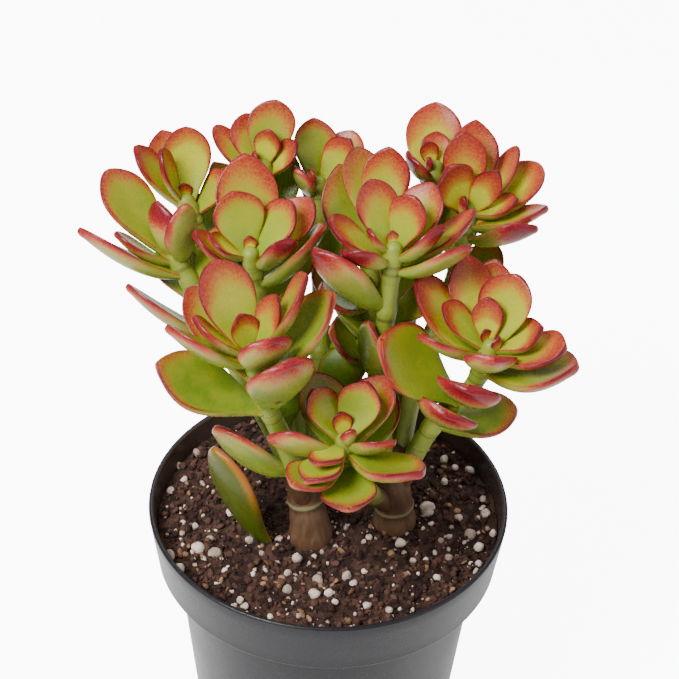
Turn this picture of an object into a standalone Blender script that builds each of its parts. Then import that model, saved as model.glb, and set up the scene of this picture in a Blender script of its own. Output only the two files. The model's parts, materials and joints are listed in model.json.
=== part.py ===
# Potted jade plant: a black nursery pot, its soil, two woody stems and their leafy heads.
# Origin at the centre of the pot's base, +Z up, the plant's front towards -Y.
from collections import namedtuple

import bmesh
import bpy
import numpy as np

MM = 0.001

# Driving dimensions of the pot, in mm
POT_HEIGHT = 88.0
RIM_RADIUS = 54.0
COLLAR_HEIGHT = 18.5
COLLAR_FOOT_RADIUS = 51.5
SHOULDER_RADIUS = 46.0
SHOULDER_DROP = 1.0
BASE_RADIUS = 39.5
BASE_ROUND = 0.8
POT_WALL = 1.6
LIP_ROUND = 0.5
STEP_DEPTH = 1.5
FLOOR_THICKNESS = 2.0
DRAIN_COUNT = 6
DRAIN_RADIUS = 4.0
DRAIN_CIRCLE = 30.0
FIT_GAP = 0.3
CUT_OVERRUN = 3.0
COLLAR_FOOT = POT_HEIGHT - COLLAR_HEIGHT

# The soil and the perlite grains in it
SOIL_LEVEL = 82.0
SOIL_RINGS = (0.0, 12.0, 24.0, 36.0, 46.0)
SOIL_EDGE_DROP = 0.5
SOIL_UNEVENNESS = 0.7
SOIL_WAVES = (7.0, 6.0, 3.1)
GRAIN_COUNT = 18
GRAIN_SIZES = (1.3, 2.4)
GRAIN_RISE = 0.2
GRAIN_SPACING = 6.0
GRAIN_CLEARANCE = 12.0
GRAIN_SEED = 7

# How many sides the round pieces have
POT_STEPS = 44
SOIL_STEPS = 28
HOLE_SIDES = 16

# The woody trunks, and the green stems that taper from fork to tip
TRUNK_DEPTH = 16.0
TRUNK_FOOT_RADIUS = 6.1
TRUNK_TOP_RADIUS = 4.6
STEM_TIP_RADIUS = 2.5
STEM_FORK_RADIUS = 3.1
STEM_POINTS = 7
STEM_BEVEL_RESOLUTION = 1
TRUNK_BEVEL_RESOLUTION = 3
ROUND_ANGLE = 50.0

# A leaf's form: its curl in degrees, and the rest as shares of its length, width or thickness
LEAF_CURL = 25.0
LEAF_CUP = 0.08
LEAF_WIDEST = 0.60
LEAF_ROOT_WIDTH = 0.30
LEAF_GROWTH = 1.7
LEAF_BLUNTNESS = 2.15
LEAF_THICKNESS_SHARE = 0.22
LEAF_THICKNESS_LEAST = 1.2
LEAF_ROOT_SWELL = 0.55
LEAF_INNER_FACE = 0.32
LEAF_OUTER_FACE = 0.68
BIG_LEAF_LENGTH = 24.0
BIG_LEAF_SIDES = (8, 5)
SMALL_LEAF_SIDES = (6, 5)
ROOT_OFFSET = 1.0

# How blades of neighbouring shoots are bent clear of each other
BEND_ROUNDS = 80
BEND_MARGIN = 0.35
BEND_LIMIT = 0.06
STEM_DOT_STEP = 1.5
STEM_REACH = 8.0
SOIL_CLEARANCE = 3.0

# A leaf in mm and degrees: how far down its stem it roots, the compass turn it grows towards
# (0 is +X, 90 is +Y), its tilt from upright, its length and width, and its roll about its own axis.
Leaf = namedtuple("Leaf", "down turn tilt long wide roll", defaults=[0])
# A shoot: its trunk, the height where it leaves the trunk's solid, its stem's path from the tip down.
Shoot = namedtuple("Shoot", "trunk fork path leaves")

LEFT_TRUNK = [(-8, -4, 112), (-7, -8, 96), (-5, -9, 84), (-5, -9, SOIL_LEVEL - TRUNK_DEPTH)]
RIGHT_TRUNK = [(18, 1, 111), (19, -2, 96), (20, -2, 84), (20, -2, SOIL_LEVEL - TRUNK_DEPTH)]
TRUNKS = {"stem_left": LEFT_TRUNK, "stem_right": RIGHT_TRUNK}

SHOOTS = {
    "head_front_left": Shoot("stem_left", 108, [
        (-22, -21, 160), (-19, -21, 144), (-14, -20, 131), (-10, -17, 116), (-7, -9, 95)], [
        Leaf(1, 130, 15, 12, 9),
        Leaf(1, 45, 25, 18, 10, 10),
        Leaf(1, 180, 58, 19, 11, -20),
        Leaf(2, 40, 36, 27, 14, 35),
        Leaf(2, 125, 40, 28, 17),
        Leaf(4, 300, 28, 17, 16),
        Leaf(4, 180, 56, 26, 15, -28),
        Leaf(10, 135, 55, 32, 16),
        Leaf(11, 34, 43, 32, 20, 22),
        Leaf(18, 300, 25, 25, 20),
        Leaf(21, 174, 68, 33, 20, 8),
        Leaf(32, 90, 60, 24, 15),
        Leaf(50, 180, 54, 28, 18, -52),
    ]),
    "head_front_low": Shoot("stem_right", 106, [
        (4, -25, 133), (6, -21, 117), (13, -9, 98), (19, -2, 88)], [
        Leaf(1, 105, 15, 9, 6),
        Leaf(1, 300, 12, 7, 5),
        Leaf(1, 70, 32, 18, 13),
        Leaf(1, 135, 35, 17, 12),
        Leaf(2, 205, 78, 13, 10, -15),
        Leaf(2, 335, 62, 16, 11, 35),
        Leaf(4, 50, 50, 23, 15),
        Leaf(4, 225, 75, 17, 13, -10),
        Leaf(5, 328, 80, 24, 18, 18),
        Leaf(9, 225, 88, 19, 15, -8),
        Leaf(5, 186, 68, 22, 13, -50),
        Leaf(10, 262, 84, 17, 16),
        Leaf(11, 120, 50, 27, 15),
        Leaf(14, 72, 50, 26, 15),
    ]),
    "head_right": Shoot("stem_right", 113, [
        (44, -5, 152), (40, -5, 136), (32, -4, 127), (27, -3, 116), (22, -2, 100), (19, -2, 91)], [
        Leaf(1, 125, 15, 6, 4),
        Leaf(1, 320, 12, 6, 4),
        Leaf(1, 130, 32, 15, 9, 50),
        Leaf(1, 0, 52, 16, 13),
        Leaf(1, 150, 40, 18, 11),
        Leaf(2, 60, 35, 23, 16),
        Leaf(3, 350, 62, 22, 17),
        Leaf(4, 275, 48, 15, 15),
        Leaf(3, 185, 62, 21, 12, -30),
        Leaf(3, 110, 38, 29, 13),
        Leaf(6, 150, 50, 30, 16),
        Leaf(9, 80, 45, 32, 15),
        Leaf(8, 345, 72, 27, 21, 5),
        Leaf(21, 188, 50, 33, 22, 28),
        Leaf(17, 264, 44, 17, 19, 14),
        Leaf(27, 258, 44, 17, 19, 16),
        Leaf(34, 10, 80, 24, 18),
    ]),
    "head_centre": Shoot("stem_right", 121, [
        (16, 8, 175), (15, 6, 159), (14, 4, 146), (14, 1, 126), (16, -2, 106), (19, -2, 91)], [
        Leaf(1, 100, 12, 6, 4),
        Leaf(1, 60, 22, 17, 12),
        Leaf(1, 120, 32, 21, 13),
        Leaf(2, 58, 50, 23, 14),
        Leaf(1, 175, 40, 10, 7, -25),
        Leaf(4, 165, 60, 21, 13, -10),
        Leaf(3, 5, 50, 17, 13, 35),
        Leaf(4, 200, 58, 16, 12, -35),
        Leaf(5, 30, 65, 28, 12, 20),
        Leaf(7, 0, 65, 23, 13, 40),
        Leaf(19, 174, 50, 29, 17, -58),
        Leaf(18, 80, 55, 25, 16),
        Leaf(42, 178, 42, 21, 15, -25),
    ]),
    "head_middle_left": Shoot("stem_left", 136, [
        (-24, 10, 170), (-21, 12, 147), (-16, 9, 129), (-12, 1, 111), (-8, -8, 94)], [
        Leaf(1, 100, 12, 6, 4),
        Leaf(1, 40, 38, 19, 14),
        Leaf(1, 110, 32, 19, 15),
        Leaf(1, 180, 50, 13, 10, -10),
        Leaf(4, 45, 55, 25, 14),
        Leaf(6, 98, 36, 33, 18),
        Leaf(4, 350, 50, 16, 12, 45),
        Leaf(6, 170, 60, 20, 12, -18),
        Leaf(11, 15, 50, 26, 17, 28),
        Leaf(20, 60, 55, 27, 16),
        Leaf(26, 150, 60, 24, 15),
    ]),
    "head_left": Shoot("stem_left", 121, [
        (-47, 18, 166), (-37, 10, 150), (-26, 3, 132), (-14, -5, 113), (-8, -8, 94)], [
        Leaf(1, 105, 12, 6, 5),
        Leaf(2, 225, 2, 17, 12),
        Leaf(4, 320, 8, 20, 13),
        Leaf(3, 150, 55, 31, 18),
        Leaf(5, 180, 58, 20, 10, -25),
        Leaf(9, 180, 55, 33, 15, -32),
        Leaf(12, 40, 55, 20, 13),
        Leaf(19, 120, 60, 22, 14),
        Leaf(29, 175, 58, 30, 13, -28),
    ]),
    "head_back_far_left": Shoot("stem_left", 127, [
        (-44, 34, 171), (-35, 27, 152), (-25, 18, 134), (-14, 6, 111), (-8, -8, 94)], [
        Leaf(1, 120, 12, 6, 5),
        Leaf(1, 150, 25, 19, 10, -25),
        Leaf(2, 147, 45, 23, 12, -18),
        Leaf(2, 100, 28, 23, 14),
        Leaf(5, 115, 45, 28, 16),
        Leaf(4, 35, 40, 16, 12),
        Leaf(17, 75, 60, 24, 15),
        Leaf(30, 140, 65, 24, 15),
    ]),
    "head_back_left": Shoot("stem_left", 136, [
        (-22, 40, 180), (-20, 34, 162), (-16, 24, 144), (-10, 7, 120), (-8, -8, 94)], [
        Leaf(1, 200, 12, 7, 5),
        Leaf(1, 75, 20, 12, 8),
        Leaf(2, 85, 40, 21, 14),
        Leaf(3, 120, 50, 19, 13),
        Leaf(5, 135, 52, 22, 9),
        Leaf(3, 30, 38, 14, 9),
        Leaf(9, 100, 48, 23, 13),
        Leaf(20, 135, 50, 27, 15),
        Leaf(21, 80, 42, 27, 15),
    ]),
    "head_back_middle": Shoot("stem_left", 127, [
        (-6, 44, 172), (-5, 36, 158), (-4, 25, 144), (-4, 8, 120), (-8, -8, 94)], [
        Leaf(1, 200, 10, 7, 5),
        Leaf(1, 110, 34, 20, 14),
        Leaf(1, 50, 34, 17, 12),
        Leaf(3, 60, 52, 22, 14),
        Leaf(3, 180, 45, 13, 10, -30),
        Leaf(13, 85, 60, 24, 15),
        Leaf(26, 45, 60, 24, 15),
        Leaf(48, 25, 55, 20, 15),
    ]),
    "head_back_right": Shoot("stem_right", 134, [
        (38, 40, 167), (36, 30, 153), (29, 19, 139), (23, 6, 125), (19, -2, 91)], [
        Leaf(1, 200, 8, 7, 5),
        Leaf(1, 125, 32, 17, 14),
        Leaf(2, 70, 32, 18, 9),
        Leaf(2, 98, 32, 25, 13),
        Leaf(3, 95, 38, 30, 15),
        Leaf(3, 58, 48, 27, 11, 25),
        Leaf(4, 35, 60, 29, 17),
        Leaf(1, 0, 50, 15, 10),
        Leaf(5, 5, 65, 24, 14, 22),
        Leaf(8, 345, 66, 22, 14, 38),
        Leaf(16, 100, 55, 25, 16),
        Leaf(28, 45, 65, 24, 15),
    ]),
    "head_back_high": Shoot("stem_right", 135, [
        (28, 50, 175), (27, 40, 160), (22, 27, 143), (19, 10, 123), (19, -2, 91)], [
        Leaf(1, 200, 8, 6, 4),
        Leaf(1, 110, 20, 9, 6),
        Leaf(9, 89, 40, 30, 17),
        Leaf(2, 60, 40, 13, 9),
        Leaf(3, 215, 35, 13, 11),
        Leaf(12, 65, 60, 24, 15),
        Leaf(13, 250, 35, 17, 13),
        Leaf(26, 130, 60, 22, 14),
        Leaf(30, 215, 50, 17, 13),
    ]),
    "head_centre_back": Shoot("stem_right", 129, [
        (12, 26, 173), (10, 20, 154), (12, 11, 133), (16, 4, 113), (19, -2, 91)], [
        Leaf(1, 200, 8, 7, 5),
        Leaf(3, 85, 36, 23, 14),
        Leaf(5, 108, 42, 26, 13),
        Leaf(17, 110, 45, 33, 17),
        Leaf(17, 220, 50, 19, 13),
        Leaf(32, 40, 60, 24, 14),
        Leaf(30, 150, 60, 22, 14),
        Leaf(42, 85, 50, 24, 16),
        Leaf(42, 185, 60, 17, 15),
        Leaf(36, 222, 92, 20, 15),
        Leaf(37, 128, 78, 20, 15),
        Leaf(27, 195, 58, 18, 14),
    ]),
}

# A shed leaf that stands in the soil by its root, in a plain hole.
SHED_LEAF = Leaf(0, 165, 26, 38, 17, -60)
SHED_LEAF_ROOT = (-17.0, -12.0, SOIL_LEVEL - 2.0)
SHED_HOLE_RADIUS = 4.8
SHED_HOLE_FLOOR = 1.2

# Colours from the photograph: red, green, blue, roughness
BLACK_PLASTIC = (0.022, 0.023, 0.026, 0.55)
DARK_SOIL = (0.035, 0.024, 0.018, 0.95)
WOODY_STEM = (0.19, 0.13, 0.07, 0.75)
LEAF_GREEN = (0.33, 0.36, 0.07, 0.40)


def pathLengths(path):
    steps = np.linalg.norm(np.diff(path, axis=0), axis=1)
    return np.concatenate([[0.0], np.cumsum(steps)])


# A path with its corners cut twice, each cut a quarter of the way along the legs beside it.
def smoothPath(points):
    path = np.array(points, float)
    for _ in range(2):
        near = path[:-1] * 0.75 + path[1:] * 0.25
        far = path[:-1] * 0.25 + path[1:] * 0.75
        cut = np.stack([near, far], 1).reshape(-1, 3)
        path = np.vstack([path[:1], cut, path[-1:]])
    return path


def alongPath(path, lengths):
    way = pathLengths(path)
    return np.stack([np.interp(lengths, way, path[:, axis]) for axis in range(3)], -1)


def lengthAtHeight(path, height):
    return float(np.interp(-height, -path[:, 2], pathLengths(path)))


def stemRadius(length, total):
    return STEM_TIP_RADIUS + (STEM_FORK_RADIUS - STEM_TIP_RADIUS) * np.clip(length / total, 0, 1)


# Width from root (u = 0) to tip (u = 1): it grows by a sine to LEAF_WIDEST and ends in a blunt curve.
def leafOutline(u):
    rise = np.sin(np.pi / 2 * np.clip(u / LEAF_WIDEST, 0, 1)) ** LEAF_GROWTH
    end = np.clip((u - LEAF_WIDEST) / (1 - LEAF_WIDEST), 0, 1)
    return (LEAF_ROOT_WIDTH + (1 - LEAF_ROOT_WIDTH) * rise) * np.sqrt(1 - end ** LEAF_BLUNTNESS)


def leafThickness(wide):
    return LEAF_THICKNESS_SHARE * wide + LEAF_THICKNESS_LEAST


# Thickness from root to tip: fullest before the middle, thinning to nothing where the outline ends.
def leafSwell(u):
    body = LEAF_ROOT_SWELL + (1 - LEAF_ROOT_SWELL) * np.sin(np.pi * np.clip(u / 0.9, 0, 1) ** 0.8)
    return body * np.sqrt(np.clip(leafOutline(u) / 0.5, 0, 1))


# Points in the leaf's own frame: x along its chord, y across it, z towards its inner face.
# The midline is an arc of LEAF_CURL degrees, and the edges rise towards the inner face.
def leafPoints(leaf, u, across, lift):
    bend = np.radians(LEAF_CURL)
    width = leafOutline(u)
    side = across * width * leaf.wide / 2
    cup = LEAF_CUP * leaf.wide * across ** 2 * width
    rise = lift * leafSwell(u) * leafThickness(leaf.wide) + cup
    ahead = leaf.long * np.sin(bend * u) / bend - np.sin(bend * u) * rise
    above = leaf.long * (1 - np.cos(bend * u)) / bend + np.cos(bend * u) * rise
    half = bend / 2
    return np.stack([ahead * np.cos(half) + above * np.sin(half), side,
                     above * np.cos(half) - ahead * np.sin(half)], -1)


# Columns: along the leaf, across it, and out of its inner face, from its turn, tilt and roll.
def leafFrame(leaf):
    turn, tilt, roll = np.radians([leaf.turn, leaf.tilt, leaf.roll])
    out = np.array([np.cos(turn), np.sin(turn), 0.0])
    up = np.array([0.0, 0.0, 1.0])
    along = up * np.cos(tilt) + out * np.sin(tilt)
    inner = up * np.sin(tilt) - out * np.cos(tilt)
    across = np.cross(inner, along)
    return np.stack([along, across * np.cos(roll) - inner * np.sin(roll),
                     inner * np.cos(roll) + across * np.sin(roll)], 1)


def leafRoot(path, leaf):
    turn = np.radians(leaf.turn)
    return alongPath(path, leaf.down) + ROOT_OFFSET * np.array([np.cos(turn), np.sin(turn), 0.0])


# The rotation about a vector by its length in radians, by Rodrigues' formula.
def turnAbout(vector):
    angle = np.linalg.norm(vector)
    if angle < 1e-9:
        return np.eye(3)
    x, y, z = vector / angle
    cross = np.array([[0, -z, y], [z, 0, -x], [-y, x, 0]])
    return np.eye(3) + np.sin(angle) * cross + (1 - np.cos(angle)) * cross @ cross


# How far each dot is pushed by others that it overlaps: the mean of half of each overlap.
def pushApart(dots, radii, others, otherRadii, share):
    gap = dots[:, None] - others[None]
    far = np.linalg.norm(gap, axis=2) + 1e-9
    over = np.clip(radii[:, None] + otherRadii - far, 0, None)
    push = (gap * (over / far)[..., None]).sum(1)
    count = np.maximum((over > 0).sum(1), 1)
    return push / count[:, None] * share, over.max(initial=0.0)


# Leaves turn about their roots, a little each round, until no blade meets a blade or stem of
# another shoot. A blade is stood in for by dots with a radius of about half its thickness.
# Inside one shoot only the outer halves of blades push each other.
def bendClear():
    u, v = np.meshgrid(np.linspace(0.15, 0.97, 9), np.linspace(-0.88, 0.88, 5), indexing="ij")
    u, v = u.ravel(), v.ravel()
    outerHalf = u > 0.45
    grown, roots, frames, grids, radii, owners = [], [], [], [], [], []
    stemDots, stemRadii, stemOwners = [], [], []
    for owner, shoot in enumerate(SHOOTS.values()):
        path = smoothPath(shoot.path)
        total = pathLengths(path)[-1]
        lengths = np.arange(STEM_DOT_STEP / 3, total, STEM_DOT_STEP)
        stemDots.append(alongPath(path, lengths))
        stemRadii.append(stemRadius(lengths, total) + BEND_MARGIN)
        stemOwners.append(np.full(len(lengths), owner))
        for leaf in shoot.leaves:
            grown.append(leaf)
            owners.append(owner)
            roots.append(leafRoot(path, leaf))
            frames.append(leafFrame(leaf))
            grids.append(leafPoints(leaf, u, v, -0.18))
            half = leafThickness(leaf.wide) * leafSwell(u) * (0.5 - 0.28 * np.abs(v))
            radii.append(half + BEND_MARGIN)
    stemDots, stemRadii = np.concatenate(stemDots), np.concatenate(stemRadii)
    stemOwners, owners = np.concatenate(stemOwners), np.array(owners)
    roots, frames, grids, radii = np.array(roots), np.array(frames), np.array(grids), np.array(radii)
    reach = np.array([leaf.long for leaf in grown]) / 2 + 4
    nearStems = [(owner != stemOwners) & (np.linalg.norm(stemDots - root, axis=1) < leaf.long + STEM_REACH)
                 for leaf, root, owner in zip(grown, roots, owners)]
    restless = np.ones(len(grown), bool)
    for _ in range(BEND_ROUNDS):
        dots = roots[:, None] + np.einsum("nij,nkj->nki", frames, grids)
        middles = dots.mean(1)
        worst = 0.0
        turns = np.zeros((len(grown), 3))
        for i in range(len(grown)):
            near = np.linalg.norm(middles - middles[i], axis=1) < reach + reach[i]
            if not restless[near].any():
                continue
            strangers = near & (owners != owners[i])
            sisters = near & (owners == owners[i])
            sisters[i] = False
            push, over = pushApart(dots[i], radii[i], dots[strangers].reshape(-1, 3),
                                   radii[strangers].reshape(1, -1), 0.5)
            stemPush, stemOver = pushApart(dots[i], radii[i], stemDots[nearStems[i]],
                                           stemRadii[None, nearStems[i]], 1.0)
            sisterPush, _ = pushApart(dots[i][outerHalf], radii[i][outerHalf] - BEND_MARGIN,
                                      dots[sisters][:, outerHalf].reshape(-1, 3),
                                      radii[sisters][:, outerHalf].reshape(1, -1), 0.5)
            push += stemPush
            push[outerHalf] += sisterPush
            push[:, 2] += np.clip(SOIL_LEVEL + SOIL_CLEARANCE - dots[i][:, 2], 0, None)
            worst = max(worst, over, stemOver)
            pushed = np.abs(push).sum(1) > 0
            if pushed.any():
                arms = (dots[i] - roots[i])[pushed]
                turns[i] = np.cross(arms, push[pushed]).sum(0) / (arms ** 2).sum()
        for i, turn in enumerate(turns):
            size = np.linalg.norm(turn)
            frames[i] = turnAbout(turn * min(1.0, BEND_LIMIT / (size + 1e-9))) @ frames[i]
        restless = np.abs(turns).sum(1) > 0
        if worst < BEND_MARGIN / 2:
            break
    return {name: [(grown[i], roots[i], frames[i]) for i in np.nonzero(owners == owner)[0]]
            for owner, name in enumerate(SHOOTS)}


def makeMaterial(name, look):
    red, green, blue, roughness = look
    material = bpy.data.materials.new(name)
    material.use_nodes = True
    shader = material.node_tree.nodes["Principled BSDF"]
    shader.inputs["Base Color"].default_value = (red, green, blue, 1.0)
    shader.inputs["Roughness"].default_value = roughness
    shader.inputs["Metallic"].default_value = 0.0
    material.diffuse_color = (red, green, blue, 1.0)
    return material


def dress(thing, name, look):
    thing.data.materials.clear()
    thing.data.materials.append(makeMaterial(name, look))
    thing.data.shade_smooth()
    thing.data.set_sharp_from_angle(angle=np.radians(ROUND_ANGLE))


def makeObject(name, mesh, collection):
    thing = bpy.data.objects.new(name, mesh)
    collection.objects.link(thing)
    return thing


# A ball from a UV sphere, reshaped: its poles are the leaf's root and tip.
def leafBlade(name, leaf, root, frame, collection):
    segments, rings = BIG_LEAF_SIDES if leaf.long > BIG_LEAF_LENGTH else SMALL_LEAF_SIDES
    shape = bmesh.new()
    bmesh.ops.create_uvsphere(shape, u_segments=segments, v_segments=rings, radius=1.0)
    ball = np.array([corner.co for corner in shape.verts])
    u = (1 - ball[:, 2]) / 2
    ringRadius = np.maximum(np.hypot(ball[:, 0], ball[:, 1]), 1e-6)
    across, face = ball[:, 0] / ringRadius, ball[:, 1] / ringRadius
    pole = np.hypot(ball[:, 0], ball[:, 1]) < 1e-3
    depth = np.where(face > 0, LEAF_INNER_FACE, LEAF_OUTER_FACE)
    lift = np.where(pole, 0.0, depth * face)
    points = leafPoints(leaf, u, np.where(pole, 0.0, across), lift) @ frame.T + root
    for corner, point in zip(shape.verts, points):
        corner.co = point * MM
    bmesh.ops.recalc_face_normals(shape, faces=shape.faces)
    bmesh.ops.triangulate(shape, faces=shape.faces)
    mesh = bpy.data.meshes.new(name)
    shape.to_mesh(mesh)
    shape.free()
    return makeObject(name, mesh, collection)


# A tapered tube: a poly curve with a round bevel and filled caps, made into a closed mesh.
def stemTube(name, points, radii, collection, bevelResolution=STEM_BEVEL_RESOLUTION):
    curve = bpy.data.curves.new(name + "_curve", "CURVE")
    curve.dimensions = "3D"
    curve.bevel_depth = MM
    curve.bevel_resolution = bevelResolution
    curve.use_fill_caps = True
    spline = curve.splines.new("POLY")
    spline.points.add(len(points) - 1)
    for knot, point, radius in zip(spline.points, points, radii):
        knot.co = (*(np.array(point) * MM), 1.0)
        knot.radius = radius
    guide = makeObject(name + "_curve", curve, collection)
    bpy.context.view_layer.update()
    solid = bpy.data.meshes.new_from_object(guide.evaluated_get(bpy.context.evaluated_depsgraph_get()))
    shape = bmesh.new()
    shape.from_mesh(solid)
    bmesh.ops.remove_doubles(shape, verts=shape.verts, dist=1e-6)
    bmesh.ops.recalc_face_normals(shape, faces=shape.faces)
    shape.to_mesh(solid)
    shape.free()
    tube = makeObject(name, solid, collection)
    tube.matrix_world = guide.matrix_world
    bpy.data.objects.remove(guide)
    return tube


# One Boolean on a collection, applied; the collection's objects are then removed.
def applyBoolean(thing, operands, operation):
    modifier = thing.modifiers.new(operation.lower(), "BOOLEAN")
    modifier.operation = operation
    modifier.operand_type = "COLLECTION"
    modifier.collection = operands
    modifier.solver = "EXACT"
    bpy.context.view_layer.update()
    result = bpy.data.meshes.new_from_object(thing.evaluated_get(bpy.context.evaluated_depsgraph_get()))
    thing.modifiers.clear()
    thing.data = result
    for operand in list(operands.objects):
        bpy.data.objects.remove(operand)


# A turned solid from its profile in mm, run down its outer side and back up its inner side.
def turned(name, profile, steps, collection):
    mesh = bpy.data.meshes.new(name)
    corners = [(radius * MM, 0.0, height * MM) for radius, height in profile]
    mesh.from_pydata(corners, [(i, i + 1) for i in range(len(corners) - 1)], [])
    thing = makeObject(name, mesh, collection)
    screw = thing.modifiers.new("turn", "SCREW")
    screw.steps = steps
    screw.render_steps = steps
    screw.use_merge_vertices = True
    screw.merge_threshold = 0.00001
    bpy.context.view_layer.update()
    solid = bpy.data.meshes.new_from_object(thing.evaluated_get(bpy.context.evaluated_depsgraph_get()))
    thing.modifiers.clear()
    thing.data = solid
    return thing


def holeCutter(name, radius, low, high, centre, cutters):
    shape = bmesh.new()
    bmesh.ops.create_cone(shape, cap_ends=True, segments=HOLE_SIDES, radius1=radius * MM,
                          radius2=radius * MM, depth=(high - low) * MM)
    mesh = bpy.data.meshes.new(name)
    shape.to_mesh(mesh)
    shape.free()
    thing = makeObject(name, mesh, cutters)
    thing.location = (centre[0] * MM, centre[1] * MM, (low + high) / 2 * MM)
    thing.hide_render = True
    thing.display_type = "WIRE"
    return thing


# The inside of the pot's wall, from its floor up to the foot of its collar, moved in by a clearance.
def innerWall(clear):
    return [(BASE_RADIUS - POT_WALL - clear, FLOOR_THICKNESS + clear),
            (SHOULDER_RADIUS - POT_WALL - clear, COLLAR_FOOT - STEP_DEPTH + clear),
            (COLLAR_FOOT_RADIUS - POT_WALL - clear, COLLAR_FOOT + POT_WALL + clear)]


def makePot(parts, cutters):
    inside = [(0.0, FLOOR_THICKNESS), *innerWall(0.0)]
    lip = [(RIM_RADIUS - POT_WALL, POT_HEIGHT - LIP_ROUND), (RIM_RADIUS - POT_WALL + LIP_ROUND, POT_HEIGHT),
           (RIM_RADIUS - LIP_ROUND, POT_HEIGHT), (RIM_RADIUS, POT_HEIGHT - LIP_ROUND)]
    outside = [(COLLAR_FOOT_RADIUS, COLLAR_FOOT), (SHOULDER_RADIUS, COLLAR_FOOT - SHOULDER_DROP),
               (BASE_RADIUS, BASE_ROUND), (BASE_RADIUS - BASE_ROUND, 0.0), (0.0, 0.0)]
    pot = turned("pot", inside + lip + outside, POT_STEPS, parts)
    for number in range(DRAIN_COUNT):
        angle = 2 * np.pi * number / DRAIN_COUNT
        centre = (DRAIN_CIRCLE * np.cos(angle), DRAIN_CIRCLE * np.sin(angle))
        holeCutter(f"drain_{number}", DRAIN_RADIUS, -CUT_OVERRUN, FLOOR_THICKNESS + CUT_OVERRUN,
                   centre, cutters)
    applyBoolean(pot, cutters, "DIFFERENCE")
    dress(pot, "black_plastic", BLACK_PLASTIC)
    return pot


# The soil fills the pot, FIT_GAP clear of its wall and floor. Its top rises and falls in waves.
def makeSoil(parts, cutters):
    slope = (RIM_RADIUS - COLLAR_FOOT_RADIUS) / (COLLAR_HEIGHT - LIP_ROUND)
    wall = innerWall(FIT_GAP)
    edge = (wall[-1][0] + slope * (SOIL_LEVEL - SOIL_EDGE_DROP - wall[-1][1]), SOIL_LEVEL - SOIL_EDGE_DROP)
    top = [(radius, SOIL_LEVEL) for radius in SOIL_RINGS]
    soil = turned("soil", [*top, edge, *reversed(wall), (0.0, wall[0][1])], SOIL_STEPS, parts)
    longWave, crossWave, ripple = SOIL_WAVES
    for corner in soil.data.vertices:
        x, y, z = corner.co / MM
        if z > SOIL_LEVEL - FIT_GAP:
            wave = np.sin(x / longWave + 1.3) * np.cos(y / crossWave) + 0.4 * np.sin((x + y) / ripple)
            corner.co.z += SOIL_UNEVENNESS * wave * MM
    for name, trunk in TRUNKS.items():
        foot = trunk[-1]
        holeCutter(name + "_hole", TRUNK_FOOT_RADIUS + 2 * FIT_GAP, foot[2] - FIT_GAP,
                   SOIL_LEVEL + CUT_OVERRUN, foot, cutters)
    holeCutter("shed_leaf_hole", SHED_HOLE_RADIUS, SHED_LEAF_ROOT[2] - SHED_HOLE_FLOOR,
               SOIL_LEVEL + CUT_OVERRUN, SHED_LEAF_ROOT, cutters)
    applyBoolean(soil, cutters, "DIFFERENCE")
    addGrains(soil)
    dress(soil, "dark_soil", DARK_SOIL)
    return soil


# Perlite grains half sunk in the soil's top, clear of the stems.
def addGrains(soil):
    draw = np.random.default_rng(GRAIN_SEED)
    grains = makeCollection("grains")
    stands = [trunk[-1] for trunk in TRUNKS.values()] + [SHED_LEAF_ROOT]
    placed = []
    while len(placed) < GRAIN_COUNT:
        angle = draw.uniform(0, 2 * np.pi)
        far = SOIL_RINGS[-1] * np.sqrt(draw.uniform(0, 1))
        size = draw.uniform(*GRAIN_SIZES)
        spot = np.array([far * np.cos(angle), far * np.sin(angle)])
        roomy = all(np.hypot(*(spot - np.array(stand[:2]))) > GRAIN_CLEARANCE for stand in stands)
        if roomy and all(np.hypot(*(spot - other)) > GRAIN_SPACING for other in placed):
            placed.append(spot)
            shape = bmesh.new()
            bmesh.ops.create_icosphere(shape, subdivisions=1, radius=size * MM)
            mesh = bpy.data.meshes.new("grain")
            shape.to_mesh(mesh)
            shape.free()
            grain = makeObject("grain", mesh, grains)
            grain.location = (spot[0] * MM, spot[1] * MM, (SOIL_LEVEL + GRAIN_RISE) * MM)
            grain.rotation_euler = (angle, size, far)
    applyBoolean(soil, grains, "UNION")
    bpy.data.collections.remove(grains)


# A woody trunk and the short branches that carry its shoots, fused.
def makeTrunk(name, parts, pieces):
    points = TRUNKS[name]
    radii = np.linspace(TRUNK_TOP_RADIUS, TRUNK_FOOT_RADIUS, len(points))
    radii[-2:] = TRUNK_FOOT_RADIUS
    trunk = stemTube(name, points, radii, parts, bevelResolution=TRUNK_BEVEL_RESOLUTION)
    for shootName, shoot in SHOOTS.items():
        if shoot.trunk == name:
            path = smoothPath(shoot.path)
            total = pathLengths(path)[-1]
            lengths = np.linspace(lengthAtHeight(path, shoot.fork) + FIT_GAP, total, STEM_POINTS)
            stemTube(shootName + "_branch", alongPath(path, lengths), stemRadius(lengths, total), pieces)
    applyBoolean(trunk, pieces, "UNION")
    dress(trunk, name + "_bark", WOODY_STEM)
    return trunk


def makeHead(name, blades, parts, pieces):
    shoot = SHOOTS[name]
    path = smoothPath(shoot.path)
    total = pathLengths(path)[-1]
    lengths = np.linspace(0.0, lengthAtHeight(path, shoot.fork), STEM_POINTS)
    head = stemTube(name, alongPath(path, lengths), stemRadius(lengths, total), parts)
    for number, (leaf, root, frame) in enumerate(blades):
        leafBlade(f"{name}_leaf_{number}", leaf, root, frame, pieces)
    applyBoolean(head, pieces, "UNION")
    dress(head, name + "_green", LEAF_GREEN)
    return head


def makeShedLeaf(parts):
    blade = leafBlade("shed_leaf", SHED_LEAF, np.array(SHED_LEAF_ROOT), leafFrame(SHED_LEAF), parts)
    dress(blade, "shed_leaf_green", LEAF_GREEN)
    return blade


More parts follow.
